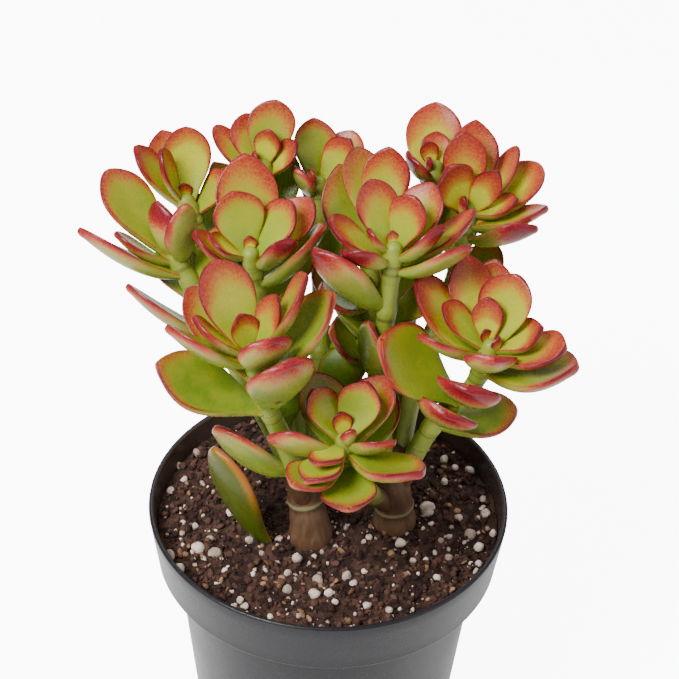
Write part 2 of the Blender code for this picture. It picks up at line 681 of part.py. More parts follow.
def makeCollection(name):
    collection = bpy.data.collections.new(name)
    bpy.context.scene.collection.children.link(collection)
    return collection


def main():
    for thing in list(bpy.data.objects):
        bpy.data.objects.remove(thing)
    parts = makeCollection("potted_jade_plant")
    cutters = makeCollection("cutters")
    pieces = makeCollection("pieces")
    makePot(parts, cutters)
    makeSoil(parts, cutters)
    for name in TRUNKS:
        makeTrunk(name, parts, pieces)
    for name, blades in bendClear().items():
        makeHead(name, blades, parts, pieces)
    makeShedLeaf(parts)
    for leftover in (cutters, pieces):
        bpy.data.collections.remove(leftover)


main()
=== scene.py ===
# Looks of the potted jade plant: fine leaves, stems, soil and pot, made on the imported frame.
import json
from collections import namedtuple

import bpy
import numpy as np
from mathutils import Matrix

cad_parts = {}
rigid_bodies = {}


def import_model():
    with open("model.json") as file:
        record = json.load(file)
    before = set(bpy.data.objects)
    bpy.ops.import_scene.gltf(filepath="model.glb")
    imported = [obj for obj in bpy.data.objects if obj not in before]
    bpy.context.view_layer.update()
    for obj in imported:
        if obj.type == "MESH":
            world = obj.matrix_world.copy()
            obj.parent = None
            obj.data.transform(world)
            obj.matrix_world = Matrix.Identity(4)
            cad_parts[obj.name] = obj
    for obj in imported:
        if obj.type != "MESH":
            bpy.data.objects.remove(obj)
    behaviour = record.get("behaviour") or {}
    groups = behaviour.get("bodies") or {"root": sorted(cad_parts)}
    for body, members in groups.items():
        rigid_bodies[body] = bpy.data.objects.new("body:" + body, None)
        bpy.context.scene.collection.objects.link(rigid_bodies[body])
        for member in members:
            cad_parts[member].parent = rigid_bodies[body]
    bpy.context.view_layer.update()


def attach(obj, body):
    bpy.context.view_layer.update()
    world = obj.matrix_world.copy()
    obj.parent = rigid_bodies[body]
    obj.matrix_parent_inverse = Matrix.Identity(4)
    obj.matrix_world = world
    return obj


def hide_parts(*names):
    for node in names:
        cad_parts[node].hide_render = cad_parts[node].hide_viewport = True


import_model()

mm = 0.001

# A leaf in mm and degrees: how far down its stem it roots, the compass turn it grows towards
# (0 is +X, 90 is +Y), its tilt from upright, its length and width, and its roll about its own axis.
Leaf = namedtuple("Leaf", "down turn tilt long wide roll", defaults=[0])
# A shoot: its trunk, the height where it leaves the trunk's solid, its stem's path from the tip down.
Shoot = namedtuple("Shoot", "trunk fork path leaves")


def leafRows(*rows):
    return [Leaf(*row) for row in rows]


leftTrunk = [(-8, -4, 112), (-7, -8, 96), (-5, -9, 84), (-5, -9, 66)]
rightTrunk = [(18, 1, 111), (19, -2, 96), (20, -2, 84), (20, -2, 66)]
trunks = {"stem_left": leftTrunk, "stem_right": rightTrunk}

shoots = {
    "head_front_left": Shoot("stem_left", 108, [
        (-22, -21, 160), (-19, -21, 144), (-14, -20, 131), (-10, -17, 116), (-7, -9, 95)], leafRows(
        (1, 130, 15, 12, 9), (1, 45, 25, 18, 10, 10), (1, 180, 58, 19, 11, -20), (2, 40, 36, 27, 14, 35),
        (2, 125, 40, 28, 17), (4, 300, 28, 17, 16), (4, 180, 56, 26, 15, -28), (10, 135, 55, 32, 16),
        (11, 34, 43, 32, 20, 22), (18, 300, 25, 25, 20), (21, 174, 68, 33, 20, 8), (32, 90, 60, 24, 15),
        (50, 180, 54, 28, 18, -52))),
    "head_front_low": Shoot("stem_right", 106, [
        (4, -25, 133), (6, -21, 117), (13, -9, 98), (19, -2, 88)], leafRows(
        (1, 105, 15, 9, 6), (1, 300, 12, 7, 5), (1, 70, 32, 18, 13), (1, 135, 35, 17, 12),
        (2, 205, 78, 13, 10, -15), (2, 335, 62, 16, 11, 35), (4, 50, 50, 23, 15),
        (4, 225, 75, 17, 13, -10), (5, 328, 80, 24, 18, 18), (9, 225, 88, 19, 15, -8),
        (5, 186, 68, 22, 13, -50), (10, 262, 84, 17, 16), (11, 120, 50, 27, 15), (14, 72, 50, 26, 15))),
    "head_right": Shoot("stem_right", 113, [
        (44, -5, 152), (40, -5, 136), (32, -4, 127), (27, -3, 116), (22, -2, 100), (19, -2, 91)], leafRows(
        (1, 125, 15, 6, 4), (1, 320, 12, 6, 4), (1, 130, 32, 15, 9, 50), (1, 0, 52, 16, 13),
        (1, 150, 40, 18, 11), (2, 60, 35, 23, 16), (3, 350, 62, 22, 17), (4, 275, 48, 15, 15),
        (3, 185, 62, 21, 12, -30), (3, 110, 38, 29, 13), (6, 150, 50, 30, 16), (9, 80, 45, 32, 15),
        (8, 345, 72, 27, 21, 5), (21, 188, 50, 33, 22, 28), (17, 264, 44, 17, 19, 14),
        (27, 258, 44, 17, 19, 16), (34, 10, 80, 24, 18))),
    "head_centre": Shoot("stem_right", 121, [
        (16, 8, 175), (15, 6, 159), (14, 4, 146), (14, 1, 126), (16, -2, 106), (19, -2, 91)], leafRows(
        (1, 100, 12, 6, 4), (1, 60, 22, 17, 12), (1, 120, 32, 21, 13), (2, 58, 50, 23, 14),
        (1, 175, 40, 10, 7, -25), (4, 165, 60, 21, 13, -10), (3, 5, 50, 17, 13, 35),
        (4, 200, 58, 16, 12, -35), (5, 30, 65, 28, 12, 20), (7, 0, 65, 23, 13, 40),
        (19, 174, 50, 29, 17, -58), (18, 80, 55, 25, 16), (42, 178, 42, 21, 15, -25))),
    "head_middle_left": Shoot("stem_left", 136, [
        (-24, 10, 170), (-21, 12, 147), (-16, 9, 129), (-12, 1, 111), (-8, -8, 94)], leafRows(
        (1, 100, 12, 6, 4), (1, 40, 38, 19, 14), (1, 110, 32, 19, 15), (1, 180, 50, 13, 10, -10),
        (4, 45, 55, 25, 14), (6, 98, 36, 33, 18), (4, 350, 50, 16, 12, 45), (6, 170, 60, 20, 12, -18),
        (11, 15, 50, 26, 17, 28), (20, 60, 55, 27, 16), (26, 150, 60, 24, 15))),
    "head_left": Shoot("stem_left", 121, [
        (-47, 18, 166), (-37, 10, 150), (-26, 3, 132), (-14, -5, 113), (-8, -8, 94)], leafRows(
        (1, 105, 12, 6, 5), (2, 225, 2, 17, 12), (4, 320, 8, 20, 13), (3, 150, 55, 31, 18),
        (5, 180, 58, 20, 10, -25), (9, 180, 55, 33, 15, -32), (12, 40, 55, 20, 13), (19, 120, 60, 22, 14),
        (29, 175, 58, 30, 13, -28))),
    "head_back_far_left": Shoot("stem_left", 127, [
        (-44, 34, 171), (-35, 27, 152), (-25, 18, 134), (-14, 6, 111), (-8, -8, 94)], leafRows(
        (1, 120, 12, 6, 5), (1, 150, 25, 19, 10, -25), (2, 147, 45, 23, 12, -18), (2, 100, 28, 23, 14),
        (5, 115, 45, 28, 16), (4, 35, 40, 16, 12), (17, 75, 60, 24, 15), (30, 140, 65, 24, 15))),
    "head_back_left": Shoot("stem_left", 136, [
        (-22, 40, 180), (-20, 34, 162), (-16, 24, 144), (-10, 7, 120), (-8, -8, 94)], leafRows(
        (1, 200, 12, 7, 5), (1, 75, 20, 12, 8), (2, 85, 40, 21, 14), (3, 120, 50, 19, 13),
        (5, 135, 52, 22, 9), (3, 30, 38, 14, 9), (9, 100, 48, 23, 13), (20, 135, 50, 27, 15),
        (21, 80, 42, 27, 15))),
    "head_back_middle": Shoot("stem_left", 127, [
        (-6, 44, 172), (-5, 36, 158), (-4, 25, 144), (-4, 8, 120), (-8, -8, 94)], leafRows(
        (1, 200, 10, 7, 5), (1, 110, 34, 20, 14), (1, 50, 34, 17, 12), (3, 60, 52, 22, 14),
        (3, 180, 45, 13, 10, -30), (13, 85, 60, 24, 15), (26, 45, 60, 24, 15), (48, 25, 55, 20, 15))),
    "head_back_right": Shoot("stem_right", 134, [
        (38, 40, 167), (36, 30, 153), (29, 19, 139), (23, 6, 125), (19, -2, 91)], leafRows(
        (1, 200, 8, 7, 5), (1, 125, 32, 17, 14), (2, 70, 32, 18, 9), (2, 98, 32, 25, 13),
        (3, 95, 38, 30, 15), (3, 58, 48, 27, 11, 25), (4, 35, 60, 29, 17), (1, 0, 50, 15, 10),
        (5, 5, 65, 24, 14, 22), (8, 345, 66, 22, 14, 38), (16, 100, 55, 25, 16), (28, 45, 65, 24, 15))),
    "head_back_high": Shoot("stem_right", 135, [
        (28, 50, 175), (27, 40, 160), (22, 27, 143), (19, 10, 123), (19, -2, 91)], leafRows(
        (1, 200, 8, 6, 4), (1, 110, 20, 9, 6), (9, 89, 40, 30, 17), (2, 60, 40, 13, 9),
        (3, 215, 35, 13, 11), (12, 65, 60, 24, 15), (13, 250, 35, 17, 13), (26, 130, 60, 22, 14),
        (30, 215, 50, 17, 13))),
    "head_centre_back": Shoot("stem_right", 129, [
        (12, 26, 173), (10, 20, 154), (12, 11, 133), (16, 4, 113), (19, -2, 91)], leafRows(
        (1, 200, 8, 7, 5), (3, 85, 36, 23, 14), (5, 108, 42, 26, 13), (17, 110, 45, 33, 17),
        (17, 220, 50, 19, 13), (32, 40, 60, 24, 14), (30, 150, 60, 22, 14), (42, 85, 50, 24, 16),
        (42, 185, 60, 17, 15), (36, 222, 92, 20, 15), (37, 128, 78, 20, 15), (27, 195, 58, 18, 14))),
}


# Growth: the same steps as in the part's source, so each fine leaf sits where its solid is

leafForm = {
    "curl": 25.0,             # degrees that the midline bends through
    "cup": 0.08,              # how far the edges rise, as a share of the width
    "rootWidth": 0.30,
    "growth": 1.7,
    "bluntness": 2.15,
    "thicknessShare": 0.22,   # thickness is this share of the width, plus the least
    "thicknessLeast": 1.2,
    "rootSwell": 0.55,
    "innerFace": 0.32,        # how the thickness is shared by the two faces
    "outerFace": 0.68,
    "rootOffset": 1.0,
}

bending = {
    "rounds": 80,
    "margin": 0.35,
    "limit": 0.06,            # radians a round
    "stemStep": 1.5,
    "stemReach": 8.0,
    "soilClearance": 3.0,
    "dotsAlong": (0.15, 0.97, 9),     # from, to, how many, as shares of the blade
    "dotsAcross": (-0.88, 0.88, 5),
    "dotLift": -0.18,
    "dotThinning": 0.28,      # how much smaller the outermost dots are, in thicknesses
    "outerFrom": 0.45,        # where a blade parts from its sisters, along it
}

stemForm = {
    "tipRadius": 2.5,
    "forkRadius": 3.1,
    "around": 20,
    "step": 0.7,
    "nodeSwell": 0.28,
    "mostSwell": 0.4,
    "scarDepth": 0.6,
    "bump": (1.2, 1.5),       # a swelling and a scar: how far below a leaf pair, how long
    "scar": (3.2, 0.35),
    "largeLeaf": 9,           # longer leaves leave a swelling
    "tuck": 0.2,              # how far the stems of a shoot and its trunk run into each other
}


def pathLengths(path):
    legs = np.linalg.norm(np.diff(path, axis=0), axis=1)
    return np.concatenate([[0.0], np.cumsum(legs)])


def smoothPath(points):  # corners cut twice, each cut a quarter of the way along the legs beside it
    path = np.array(points, float)
    for _ in range(2):
        near = path[:-1] * 0.75 + path[1:] * 0.25
        far = path[:-1] * 0.25 + path[1:] * 0.75
        cut = np.stack([near, far], 1).reshape(-1, 3)
        path = np.vstack([path[:1], cut, path[-1:]])
    return path


def alongPath(path, lengths):
    way = pathLengths(path)
    return np.stack([np.interp(lengths, way, path[:, axis]) for axis in range(3)], -1)


def lengthAtHeight(path, height):
    return float(np.interp(-height, -path[:, 2], pathLengths(path)))


def stemRadius(length, total):  # grows evenly from the tip to the fork
    rise = stemForm["forkRadius"] - stemForm["tipRadius"]
    return stemForm["tipRadius"] + rise * np.clip(length / total, 0, 1)


# A sine's rise to the widest place, and a power curve on to the tip
def leafOutline(u, pointed=0.5, widest=0.6):
    rise = np.sin(np.pi / 2 * np.clip(u / widest, 0, 1)) ** leafForm["growth"]
    end = np.clip((u - widest) / (1 - widest), 0, 1)
    closing = (1 - end ** leafForm["bluntness"]) ** pointed
    return (leafForm["rootWidth"] + (1 - leafForm["rootWidth"]) * rise) * closing


def leafThickness(wide):
    return leafForm["thicknessShare"] * wide + leafForm["thicknessLeast"]


def leafSwell(u):  # fullest before the middle, thinning to nothing where the outline ends
    body = leafForm["rootSwell"] + (1 - leafForm["rootSwell"]) * np.sin(np.pi * np.clip(u / 0.9, 0, 1) ** 0.8)
    return body * np.sqrt(np.clip(leafOutline(u) / 0.5, 0, 1))


# Points in the leaf's own frame: x along its chord, y across, z towards its inner face. The midline
# is an arc of the curl's degrees, each point stands off it by its lift, and the edges rise by the cup.
def leafPoints(leaf, u, across, lift, curl=None, wave=0.0, width=None):
    bend = np.radians(curl or leafForm["curl"])
    width = leafOutline(u) if width is None else width
    side = across * width * leaf.wide / 2
    cup = leafForm["cup"] * leaf.wide * across ** 2 * width
    rise = lift * leafSwell(u) * leafThickness(leaf.wide) + cup + wave
    ahead = leaf.long * np.sin(bend * u) / bend - np.sin(bend * u) * rise
    above = leaf.long * (1 - np.cos(bend * u)) / bend + np.cos(bend * u) * rise
    half = bend / 2
    return np.stack([ahead * np.cos(half) + above * np.sin(half), side,
                     above * np.cos(half) - ahead * np.sin(half)], -1)


def leafFrame(leaf):  # columns: along the leaf, across it, and out of its inner face
    turn, tilt, roll = np.radians([leaf.turn, leaf.tilt, leaf.roll])
    out = np.array([np.cos(turn), np.sin(turn), 0.0])
    up = np.array([0.0, 0.0, 1.0])
    along = up * np.cos(tilt) + out * np.sin(tilt)
    inner = up * np.sin(tilt) - out * np.cos(tilt)
    across = np.cross(inner, along)
    return np.stack([along, across * np.cos(roll) - inner * np.sin(roll),
                     inner * np.cos(roll) + across * np.sin(roll)], 1)


def leafRoot(path, leaf):
    turn = np.radians(leaf.turn)
    return alongPath(path, leaf.down) + leafForm["rootOffset"] * np.array([np.cos(turn), np.sin(turn), 0.0])


def turnAbout(vector):  # Rodrigues' formula: the rotation about a vector by its length in radians
    angle = np.linalg.norm(vector)
    if angle < 1e-9:
        return np.eye(3)
    x, y, z = vector / angle
    cross = np.array([[0, -z, y], [z, 0, -x], [-y, x, 0]])
    return np.eye(3) + np.sin(angle) * cross + (1 - np.cos(angle)) * cross @ cross


def pushApart(dots, radii, others, otherRadii, share):  # the mean of half of each overlap, for each dot
    gap = dots[:, None] - others[None]
    far = np.linalg.norm(gap, axis=2) + 1e-9
    over = np.clip(radii[:, None] + otherRadii - far, 0, None)
    push = (gap * (over / far)[..., None]).sum(1)
    count = np.maximum((over > 0).sum(1), 1)
    return push / count[:, None] * share, over.max(initial=0.0)


# Leaves turn about their roots, a little each round, until no blade meets a blade or stem of
# another shoot. Dots with a radius of about half the thickness stand in for a blade.
def bendClear():
    u, v = np.meshgrid(np.linspace(*bending["dotsAlong"]), np.linspace(*bending["dotsAcross"]), indexing="ij")
    u, v = u.ravel(), v.ravel()
    outerHalf = u > bending["outerFrom"]
    dotSize = 0.5 - bending["dotThinning"] * np.abs(v)
    margin = bending["margin"]
    grown, roots, frames, grids, radii, owners = [], [], [], [], [], []
    stemDots, stemRadii, stemOwners = [], [], []
    for owner, shoot in enumerate(shoots.values()):
        path = smoothPath(shoot.path)
        total = pathLengths(path)[-1]
        lengths = np.arange(bending["stemStep"] / 3, total, bending["stemStep"])
        stemDots.append(alongPath(path, lengths))
        stemRadii.append(stemRadius(lengths, total) + margin)
        stemOwners.append(np.full(len(lengths), owner))
        for leaf in shoot.leaves:
            grown.append(leaf)
            owners.append(owner)
            roots.append(leafRoot(path, leaf))
            frames.append(leafFrame(leaf))
            grids.append(leafPoints(leaf, u, v, bending["dotLift"]))
            radii.append(leafThickness(leaf.wide) * leafSwell(u) * dotSize + margin)
    stemDots, stemRadii = np.concatenate(stemDots), np.concatenate(stemRadii)
    stemOwners, owners = np.concatenate(stemOwners), np.array(owners)
    roots, frames, grids, radii = np.array(roots), np.array(frames), np.array(grids), np.array(radii)
    reach = np.array([leaf.long for leaf in grown]) / 2 + 4
    nearStems = [(owner != stemOwners)
                 & (np.linalg.norm(stemDots - root, axis=1) < leaf.long + bending["stemReach"])
                 for leaf, root, owner in zip(grown, roots, owners)]
    restless = np.ones(len(grown), bool)
    for _ in range(bending["rounds"]):
        dots = roots[:, None] + np.einsum("nij,nkj->nki", frames, grids)
        middles = dots.mean(1)
        worst = 0.0
        turns = np.zeros((len(grown), 3))
        for i in range(len(grown)):
            near = np.linalg.norm(middles - middles[i], axis=1) < reach + reach[i]
            if not restless[near].any():
                continue
            strangers = near & (owners != owners[i])
            sisters = near & (owners == owners[i])
            sisters[i] = False
            push, over = pushApart(dots[i], radii[i], dots[strangers].reshape(-1, 3),
                                   radii[strangers].reshape(1, -1), 0.5)
            stemPush, stemOver = pushApart(dots[i], radii[i], stemDots[nearStems[i]],
                                           stemRadii[None, nearStems[i]], 1.0)
            sisterPush, _ = pushApart(dots[i][outerHalf], radii[i][outerHalf] - margin,
                                      dots[sisters][:, outerHalf].reshape(-1, 3),
                                      radii[sisters][:, outerHalf].reshape(1, -1), 0.5)
            push += stemPush
            push[outerHalf] += sisterPush
            push[:, 2] += np.clip(soilForm["level"] + bending["soilClearance"] - dots[i][:, 2], 0, None)
            worst = max(worst, over, stemOver)
            pushed = np.abs(push).sum(1) > 0
            if pushed.any():
                arms = (dots[i] - roots[i])[pushed]
                turns[i] = np.cross(arms, push[pushed]).sum(0) / (arms ** 2).sum()
        for i, turn in enumerate(turns):
            size = np.linalg.norm(turn)
            frames[i] = turnAbout(turn * min(1.0, bending["limit"] / (size + 1e-9))) @ frames[i]
        restless = np.abs(turns).sum(1) > 0
        if worst < margin / 2:
            break
    return {name: [(grown[i], roots[i], frames[i]) for i in np.nonzero(owners == owner)[0]]
            for owner, name in enumerate(shoots)}


# Mesh helpers

# Value noise from -1 to 1: each corner of a lattice has a hashed value, and smooth steps blend them.
def latticeNoise(points, size, seed):
    cells = points / size
    base = np.floor(cells)
    part = cells - base
    ease = part * part * (3 - 2 * part)
    keys = np.array([127.1, 311.7, 74.7])[:points.shape[1]]
    total = np.zeros(len(points))
    for corner in np.ndindex(*(2,) * points.shape[1]):
        corner = np.array(corner)
        hashed = np.sin((base + corner) @ keys + seed * 17.17) * 43758.5453
        value = (hashed - np.floor(hashed)) * 2 - 1
        total += value * np.prod(np.where(corner, ease, 1 - ease), axis=1)
    return total


def roughNoise(points, size, seed, octaves):  # noise of halving sizes and strengths, summed
    return sum(latticeNoise(points, size / 2 ** k, seed + k) / 2 ** k for k in range(octaves))


# Faces of a grid of rings, each with the same number of points, closed round; a pole before the
# first ring and after the last one closes the ends with fans. Points are ordered pole, rings, pole.
def ringFaces(rings, around):
    row, step = np.meshgrid(np.arange(rings - 1), np.arange(around), indexing="ij")
    after = (step + 1) % around
    quads = np.stack([1 + row * around + step, 1 + (row + 1) * around + step,
                      1 + (row + 1) * around + after, 1 + row * around + after], -1).reshape(-1, 4)
    step = np.arange(around)
    after = (step + 1) % around
    last = 1 + (rings - 1) * around
    first = np.stack([np.zeros(around, int), 1 + step, 1 + after], -1)
    end = np.stack([np.full(around, last + around), last + after, last + step], -1)
    return quads, np.vstack([first, end])


def evenTurns(around):
    return 2 * np.pi * np.arange(around) / around


def evened(points, rounds):  # inner points drawn half of the way to the middle of their neighbours
    for _ in range(rounds):
        points[1:-1] = (points[:-2] + 2 * points[1:-1] + points[2:]) / 4
    return points


# A tube: rings of points round a path on two axes square to it, and a pole at each end.
def tubePoints(path, radii, around):
    tangent = np.gradient(path, axis=0)
    tangent /= np.linalg.norm(tangent, axis=1)[:, None]
    side = np.cross(tangent, [0.0, 1.0, 0.0])
    side /= np.linalg.norm(side, axis=1)[:, None]
    other = np.cross(side, tangent)
    angle = evenTurns(around)
    radii = np.broadcast_to(np.asarray(radii, float).reshape(len(path), -1), (len(path), around))
    rings = (path[:, None] + radii[..., None] * (np.cos(angle)[None, :, None] * side[:, None]
                                                 + np.sin(angle)[None, :, None] * other[:, None]))
    return np.vstack([path[:1], rings.reshape(-1, 3), path[-1:]])


def tubeRows(rings, around):  # the ring that each of a tube's points takes its values from
    return np.concatenate([[0], np.repeat(np.arange(rings), around), [rings - 1]])


# A round end on a path's first point: shrinking rings ahead of it
def domed(path, radii, rings=5, least=0.02):
    ahead = path[0] - path[1]
    ahead /= np.linalg.norm(ahead)
    turn = np.linspace(np.pi / 2, 0, rings + 1)[:-1]
    cap = path[0] + np.sin(turn)[:, None] * ahead * radii[0]
    return np.vstack([cap, path]), np.concatenate([np.cos(turn) * radii[0] + least, radii])


def newMesh(name, points, faces):
    mesh = bpy.data.meshes.new(name)
    mesh.from_pydata((points * mm).tolist(), [], faces)
    return mesh


class Build:  # collects blocks of points and faces for one mesh, and marks, a number a point, for its skin
    def __init__(self, *marks):
        self.points, self.faces, self.slots, self.count = [], [], [], 0
        self.marks = {mark: [] for mark in marks}

    def add(self, points, faces, slot=0, **marks):
        for block in faces:
            self.faces += (block + self.count).tolist()
            self.slots += [slot] * len(block)
        for mark, blocks in self.marks.items():
            blocks.append(np.broadcast_to(marks.get(mark, 0.0), len(points)))
        self.points.append(points)
        self.count += len(points)

    def piece(self, name, materials, node, slot):
        mesh = newMesh(name, np.vstack(self.points), self.faces)
        mesh.polygons.foreach_set("material_index", np.array(self.slots, np.int32))
        for mark, blocks in self.marks.items():
            layer = mesh.attributes.new(mark, "FLOAT", "POINT")
            layer.data.foreach_set("value", np.concatenate(blocks).astype(np.float32))
        mesh.shade_smooth()
        thing = bpy.data.objects.new(name, mesh)
        bpy.context.scene.collection.objects.link(thing)
        for material in materials:
            mesh.materials.append(material)
        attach(thing, "root")
        if node:
            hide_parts(node)
        return thing


# Material helpers

work = {"tree": None}         # the node tree that is being filled


class Flow:  # a node's output to reckon with: each operator adds a maths node
    def __init__(self, socket):
        self.socket = socket

    def of(self, name):  # another output of the same node
        return Flow(self.socket.node.outputs[name])

    def __add__(self, other):
        return maths("ADD", self, other)

    def __sub__(self, other):
        return maths("SUBTRACT", self, other)

    def __mul__(self, other):
        return maths("MULTIPLY", self, other)

    def __truediv__(self, other):
        return maths("DIVIDE", self, other)


def feed(node, inputs):  # each input is linked to its flow, or set to its value
    for key, value in inputs.items():
        socket = node.inputs[key.replace("_", " ") if isinstance(key, str) else key]
        if isinstance(value, Flow):
            work["tree"].links.new(value.socket, socket)
        else:
            socket.default_value = (*value, 1.0) if socket.type == "RGBA" else value


def put(kind, inputs=None, **settings):  # a node; its first output is given back
    made = work["tree"].nodes.new(kind)
    for key, value in settings.items():
        setattr(made, key, value)
    feed(made, inputs or {})
    return Flow(made.outputs[0])


def maths(operation, a, b=0.0, clamp=False):
    return put("ShaderNodeMath", {0: a, 1: b}, operation=operation, use_clamp=clamp)


def vectors(operation, a, b=(0.0, 0.0, 0.0), **more):
    return put("ShaderNodeVectorMath", {0: a, 1: b, **more}, operation=operation)


def steps(value, low, high, bottom=0.0, top=1.0):  # a smooth step of the value from low to high
    return put("ShaderNodeMapRange", {"Value": value, "From Min": low, "From Max": high,
                                      "To Min": bottom, "To Max": top}, interpolation_type="SMOOTHSTEP")


def blend(factor, first, second):
    return put("ShaderNodeMix", {0: factor, 6: first, 7: second}, data_type="RGBA").of(2)


def readMark(name):
    return put("ShaderNodeAttribute", attribute_name=name).of("Fac")


def noise(place, scale, detail=3.0, roughness=0.55, distortion=0.0):
    return put("ShaderNodeTexNoise", {"Vector": place, "Scale": scale, "Detail": detail,
                                      "Roughness": roughness, "Distortion": distortion}).of("Fac")


def cellsOf(place, scale):
    return put("ShaderNodeTexVoronoi", {"Vector": place, "Scale": scale})


def objectPlace():
    return put("ShaderNodeTexCoord").of("Object")


def bump(height, strength, distance):
    return put("ShaderNodeBump", {"Height": height, "Strength": strength, "Distance": distance})


def newMaterial(name):  # the nodes put next go to its tree
    material = bpy.data.materials.new(name)
    material.use_nodes = True
    work["tree"] = material.node_tree
    return material


def dress(material, **inputs):  # sets or links its shader's inputs
    feed(material.node_tree.nodes["Principled BSDF"], inputs)
    return material


def newGroup(name, inputs, outputs):  # a shader node group: a place and floats in, floats out
    group = bpy.data.node_groups.new(name, "ShaderNodeTree")
    for label, value in inputs.items():
        kind = "NodeSocketVector" if value is None else "NodeSocketFloat"
        socket = group.interface.new_socket(label, in_out="INPUT", socket_type=kind)
        if value is not None:
            socket.default_value = value
    for label in outputs:
        group.interface.new_socket(label, in_out="OUTPUT", socket_type="NodeSocketFloat")
    work["tree"] = group
    given = group.nodes.new("NodeGroupInput")
    return group, [Flow(given.outputs[label]) for label in inputs], group.nodes.new("NodeGroupOutput")


# Skin speckle: fine pale dots as on a waxy skin, and a soft mottle, both in object space.
def makeSpeckleGroup():
    group, (place, dotScale, mottleScale), result = newGroup(
        "skinSpeckle", {"Place": None, "Dot Scale": 1500.0, "Mottle Scale": 160.0},
        ("Dots", "Mottle", "Relief"))
    dots = steps(cellsOf(place, dotScale).of("Distance"), 0.42, 0.12)
    mottle = noise(place, mottleScale, 4.0, 0.6, 0.4)
    feed(result, {"Dots": dots, "Mottle": mottle, "Relief": dots * 0.5 + mottle})
    return group


# Dust: a patchy mask from two noises, for what stands near the soil.
def makeDustGroup():
    group, (place, scale, amount), result = newGroup(
        "settledDust", {"Place": None, "Scale": 90.0, "Amount": 0.5}, ("Mask", "Grit"))
    patches = noise(place, scale, 5.0, 0.6, 0.3)
    grit = noise(place, scale * 14.0, 2.0, 0.6)
    both = steps(patches, 0.42, 0.72) * steps(grit, 0.35, 0.7)
    feed(result, {"Mask": maths("MULTIPLY", both, amount, clamp=True), "Grit": grit})
    return group


def placeGroup(group, **inputs):
    made = work["tree"].nodes.new("ShaderNodeGroup")
    made.node_tree = group
    feed(made, inputs)
    return Flow(made.outputs[0])


speckleGroup = makeSpeckleGroup()
dustGroup = makeDustGroup()
print("helpers and shared effects ready")


# Camera

cameraView = {
    "place": (0.0017, -0.4443, 0.4971),
    "lookDown": 38.08,        # degrees below the horizon
    "roll": 1.9,
    "focalPixels": 2000.0,    # focal length in pixels of a picture this wide
    "pictureWidth": 679,
    "sensor": 36.0,
}


def cameraAxes(view):  # ahead, to the right and up, turned down and then rolled
    down, roll = np.radians([view["lookDown"], view["roll"]])
    ahead = np.array([0.0, np.cos(down), -np.sin(down)])
    right = np.array([1.0, 0.0, 0.0])
    up = np.cross(right, ahead)
    return ahead, right * np.cos(roll) + up * np.sin(roll), up * np.cos(roll) - right * np.sin(roll)


def setUp(thing, right, up, back, place):  # puts a camera or lamp in the scene, its axes along these
    matrix = np.eye(4)
    matrix[:3] = np.stack([right, up, back, place], 1)
    thing.matrix_world = Matrix(matrix.tolist())
    bpy.context.scene.collection.objects.link(thing)


def makeCamera(view):
    ahead, right, up = cameraAxes(view)
    camera = bpy.data.objects.new("camera", bpy.data.cameras.new("camera"))
    camera.data.sensor_width = view["sensor"]
    camera.data.lens = view["sensor"] * view["focalPixels"] / view["pictureWidth"]
    camera.data.clip_start = 0.02
    setUp(camera, right, up, -ahead, view["place"])
    bpy.context.scene.camera = camera


makeCamera(cameraView)
print("camera set")


# Pot

potForm = {
    "height": 88.0,
    "rimRadius": 54.0,
    "collarHeight": 18.5,
    "collarFootRadius": 51.5,
    "shoulderRadius": 46.0,
    "baseRadius": 39.5,
    "baseRound": 0.8,
    "wall": 1.6,
    "floor": 2.0,
    "floorRound": 1.2,
    "middle": 0.3,            # radius of the first and last ring, round the poles
    "stepDepth": 1.5,
    "drains": 6,
    "drainRadius": 4.0,
    "drainCircle": 30.0,
    "drainAround": 24,
    "drainOverrun": 3.0,
    "around": 160,
    "ringStep": 4.0,
    "sharpAngle": 40,
}


def potMaterial():
    material = newMaterial("blackPlastic")
    place = objectPlace()
    speckle = placeGroup(speckleGroup, Place=place, Dot_Scale=2600.0, Mottle_Scale=55.0)
    mottle = speckle.of("Mottle")
    dust = placeGroup(dustGroup, Place=place, Scale=70.0, Amount=0.16).of("Mask")
    worn = blend(mottle * 0.35, (0.010, 0.0095, 0.012), (0.020, 0.019, 0.023))
    colour = blend(dust, worn, (0.11, 0.075, 0.06))
    # a brown film inside, down to the soil: where the place is nearer the axis than the outer face
    radius = vectors("LENGTH", vectors("MULTIPLY", place, (1.0, 1.0, 0.0))).of("Value")
    height = put("ShaderNodeSeparateXYZ", {0: place}).of("Z")
    film = steps(radius, 0.0530, 0.0524) * steps(height, 0.0795, 0.0805) * mottle
    colour = blend(maths("MULTIPLY", film, 1.3, clamp=True), colour, (0.085, 0.052, 0.042))
    rough = maths("ADD", mottle * 0.16 + 0.20, dust * 0.5, clamp=True)
    return dress(material, Specular_IOR_Level=0.2, Base_Color=colour, Roughness=rough,
                 Normal=bump(speckle.of("Relief"), 0.25, 0.0002))


def arc(centre, radius, start, end, count):  # points of a circle's arc, radius and height
    angle = np.radians(np.linspace(start, end, count))
    return [(centre[0] + radius * np.cos(a), centre[1] + radius * np.sin(a)) for a in angle]


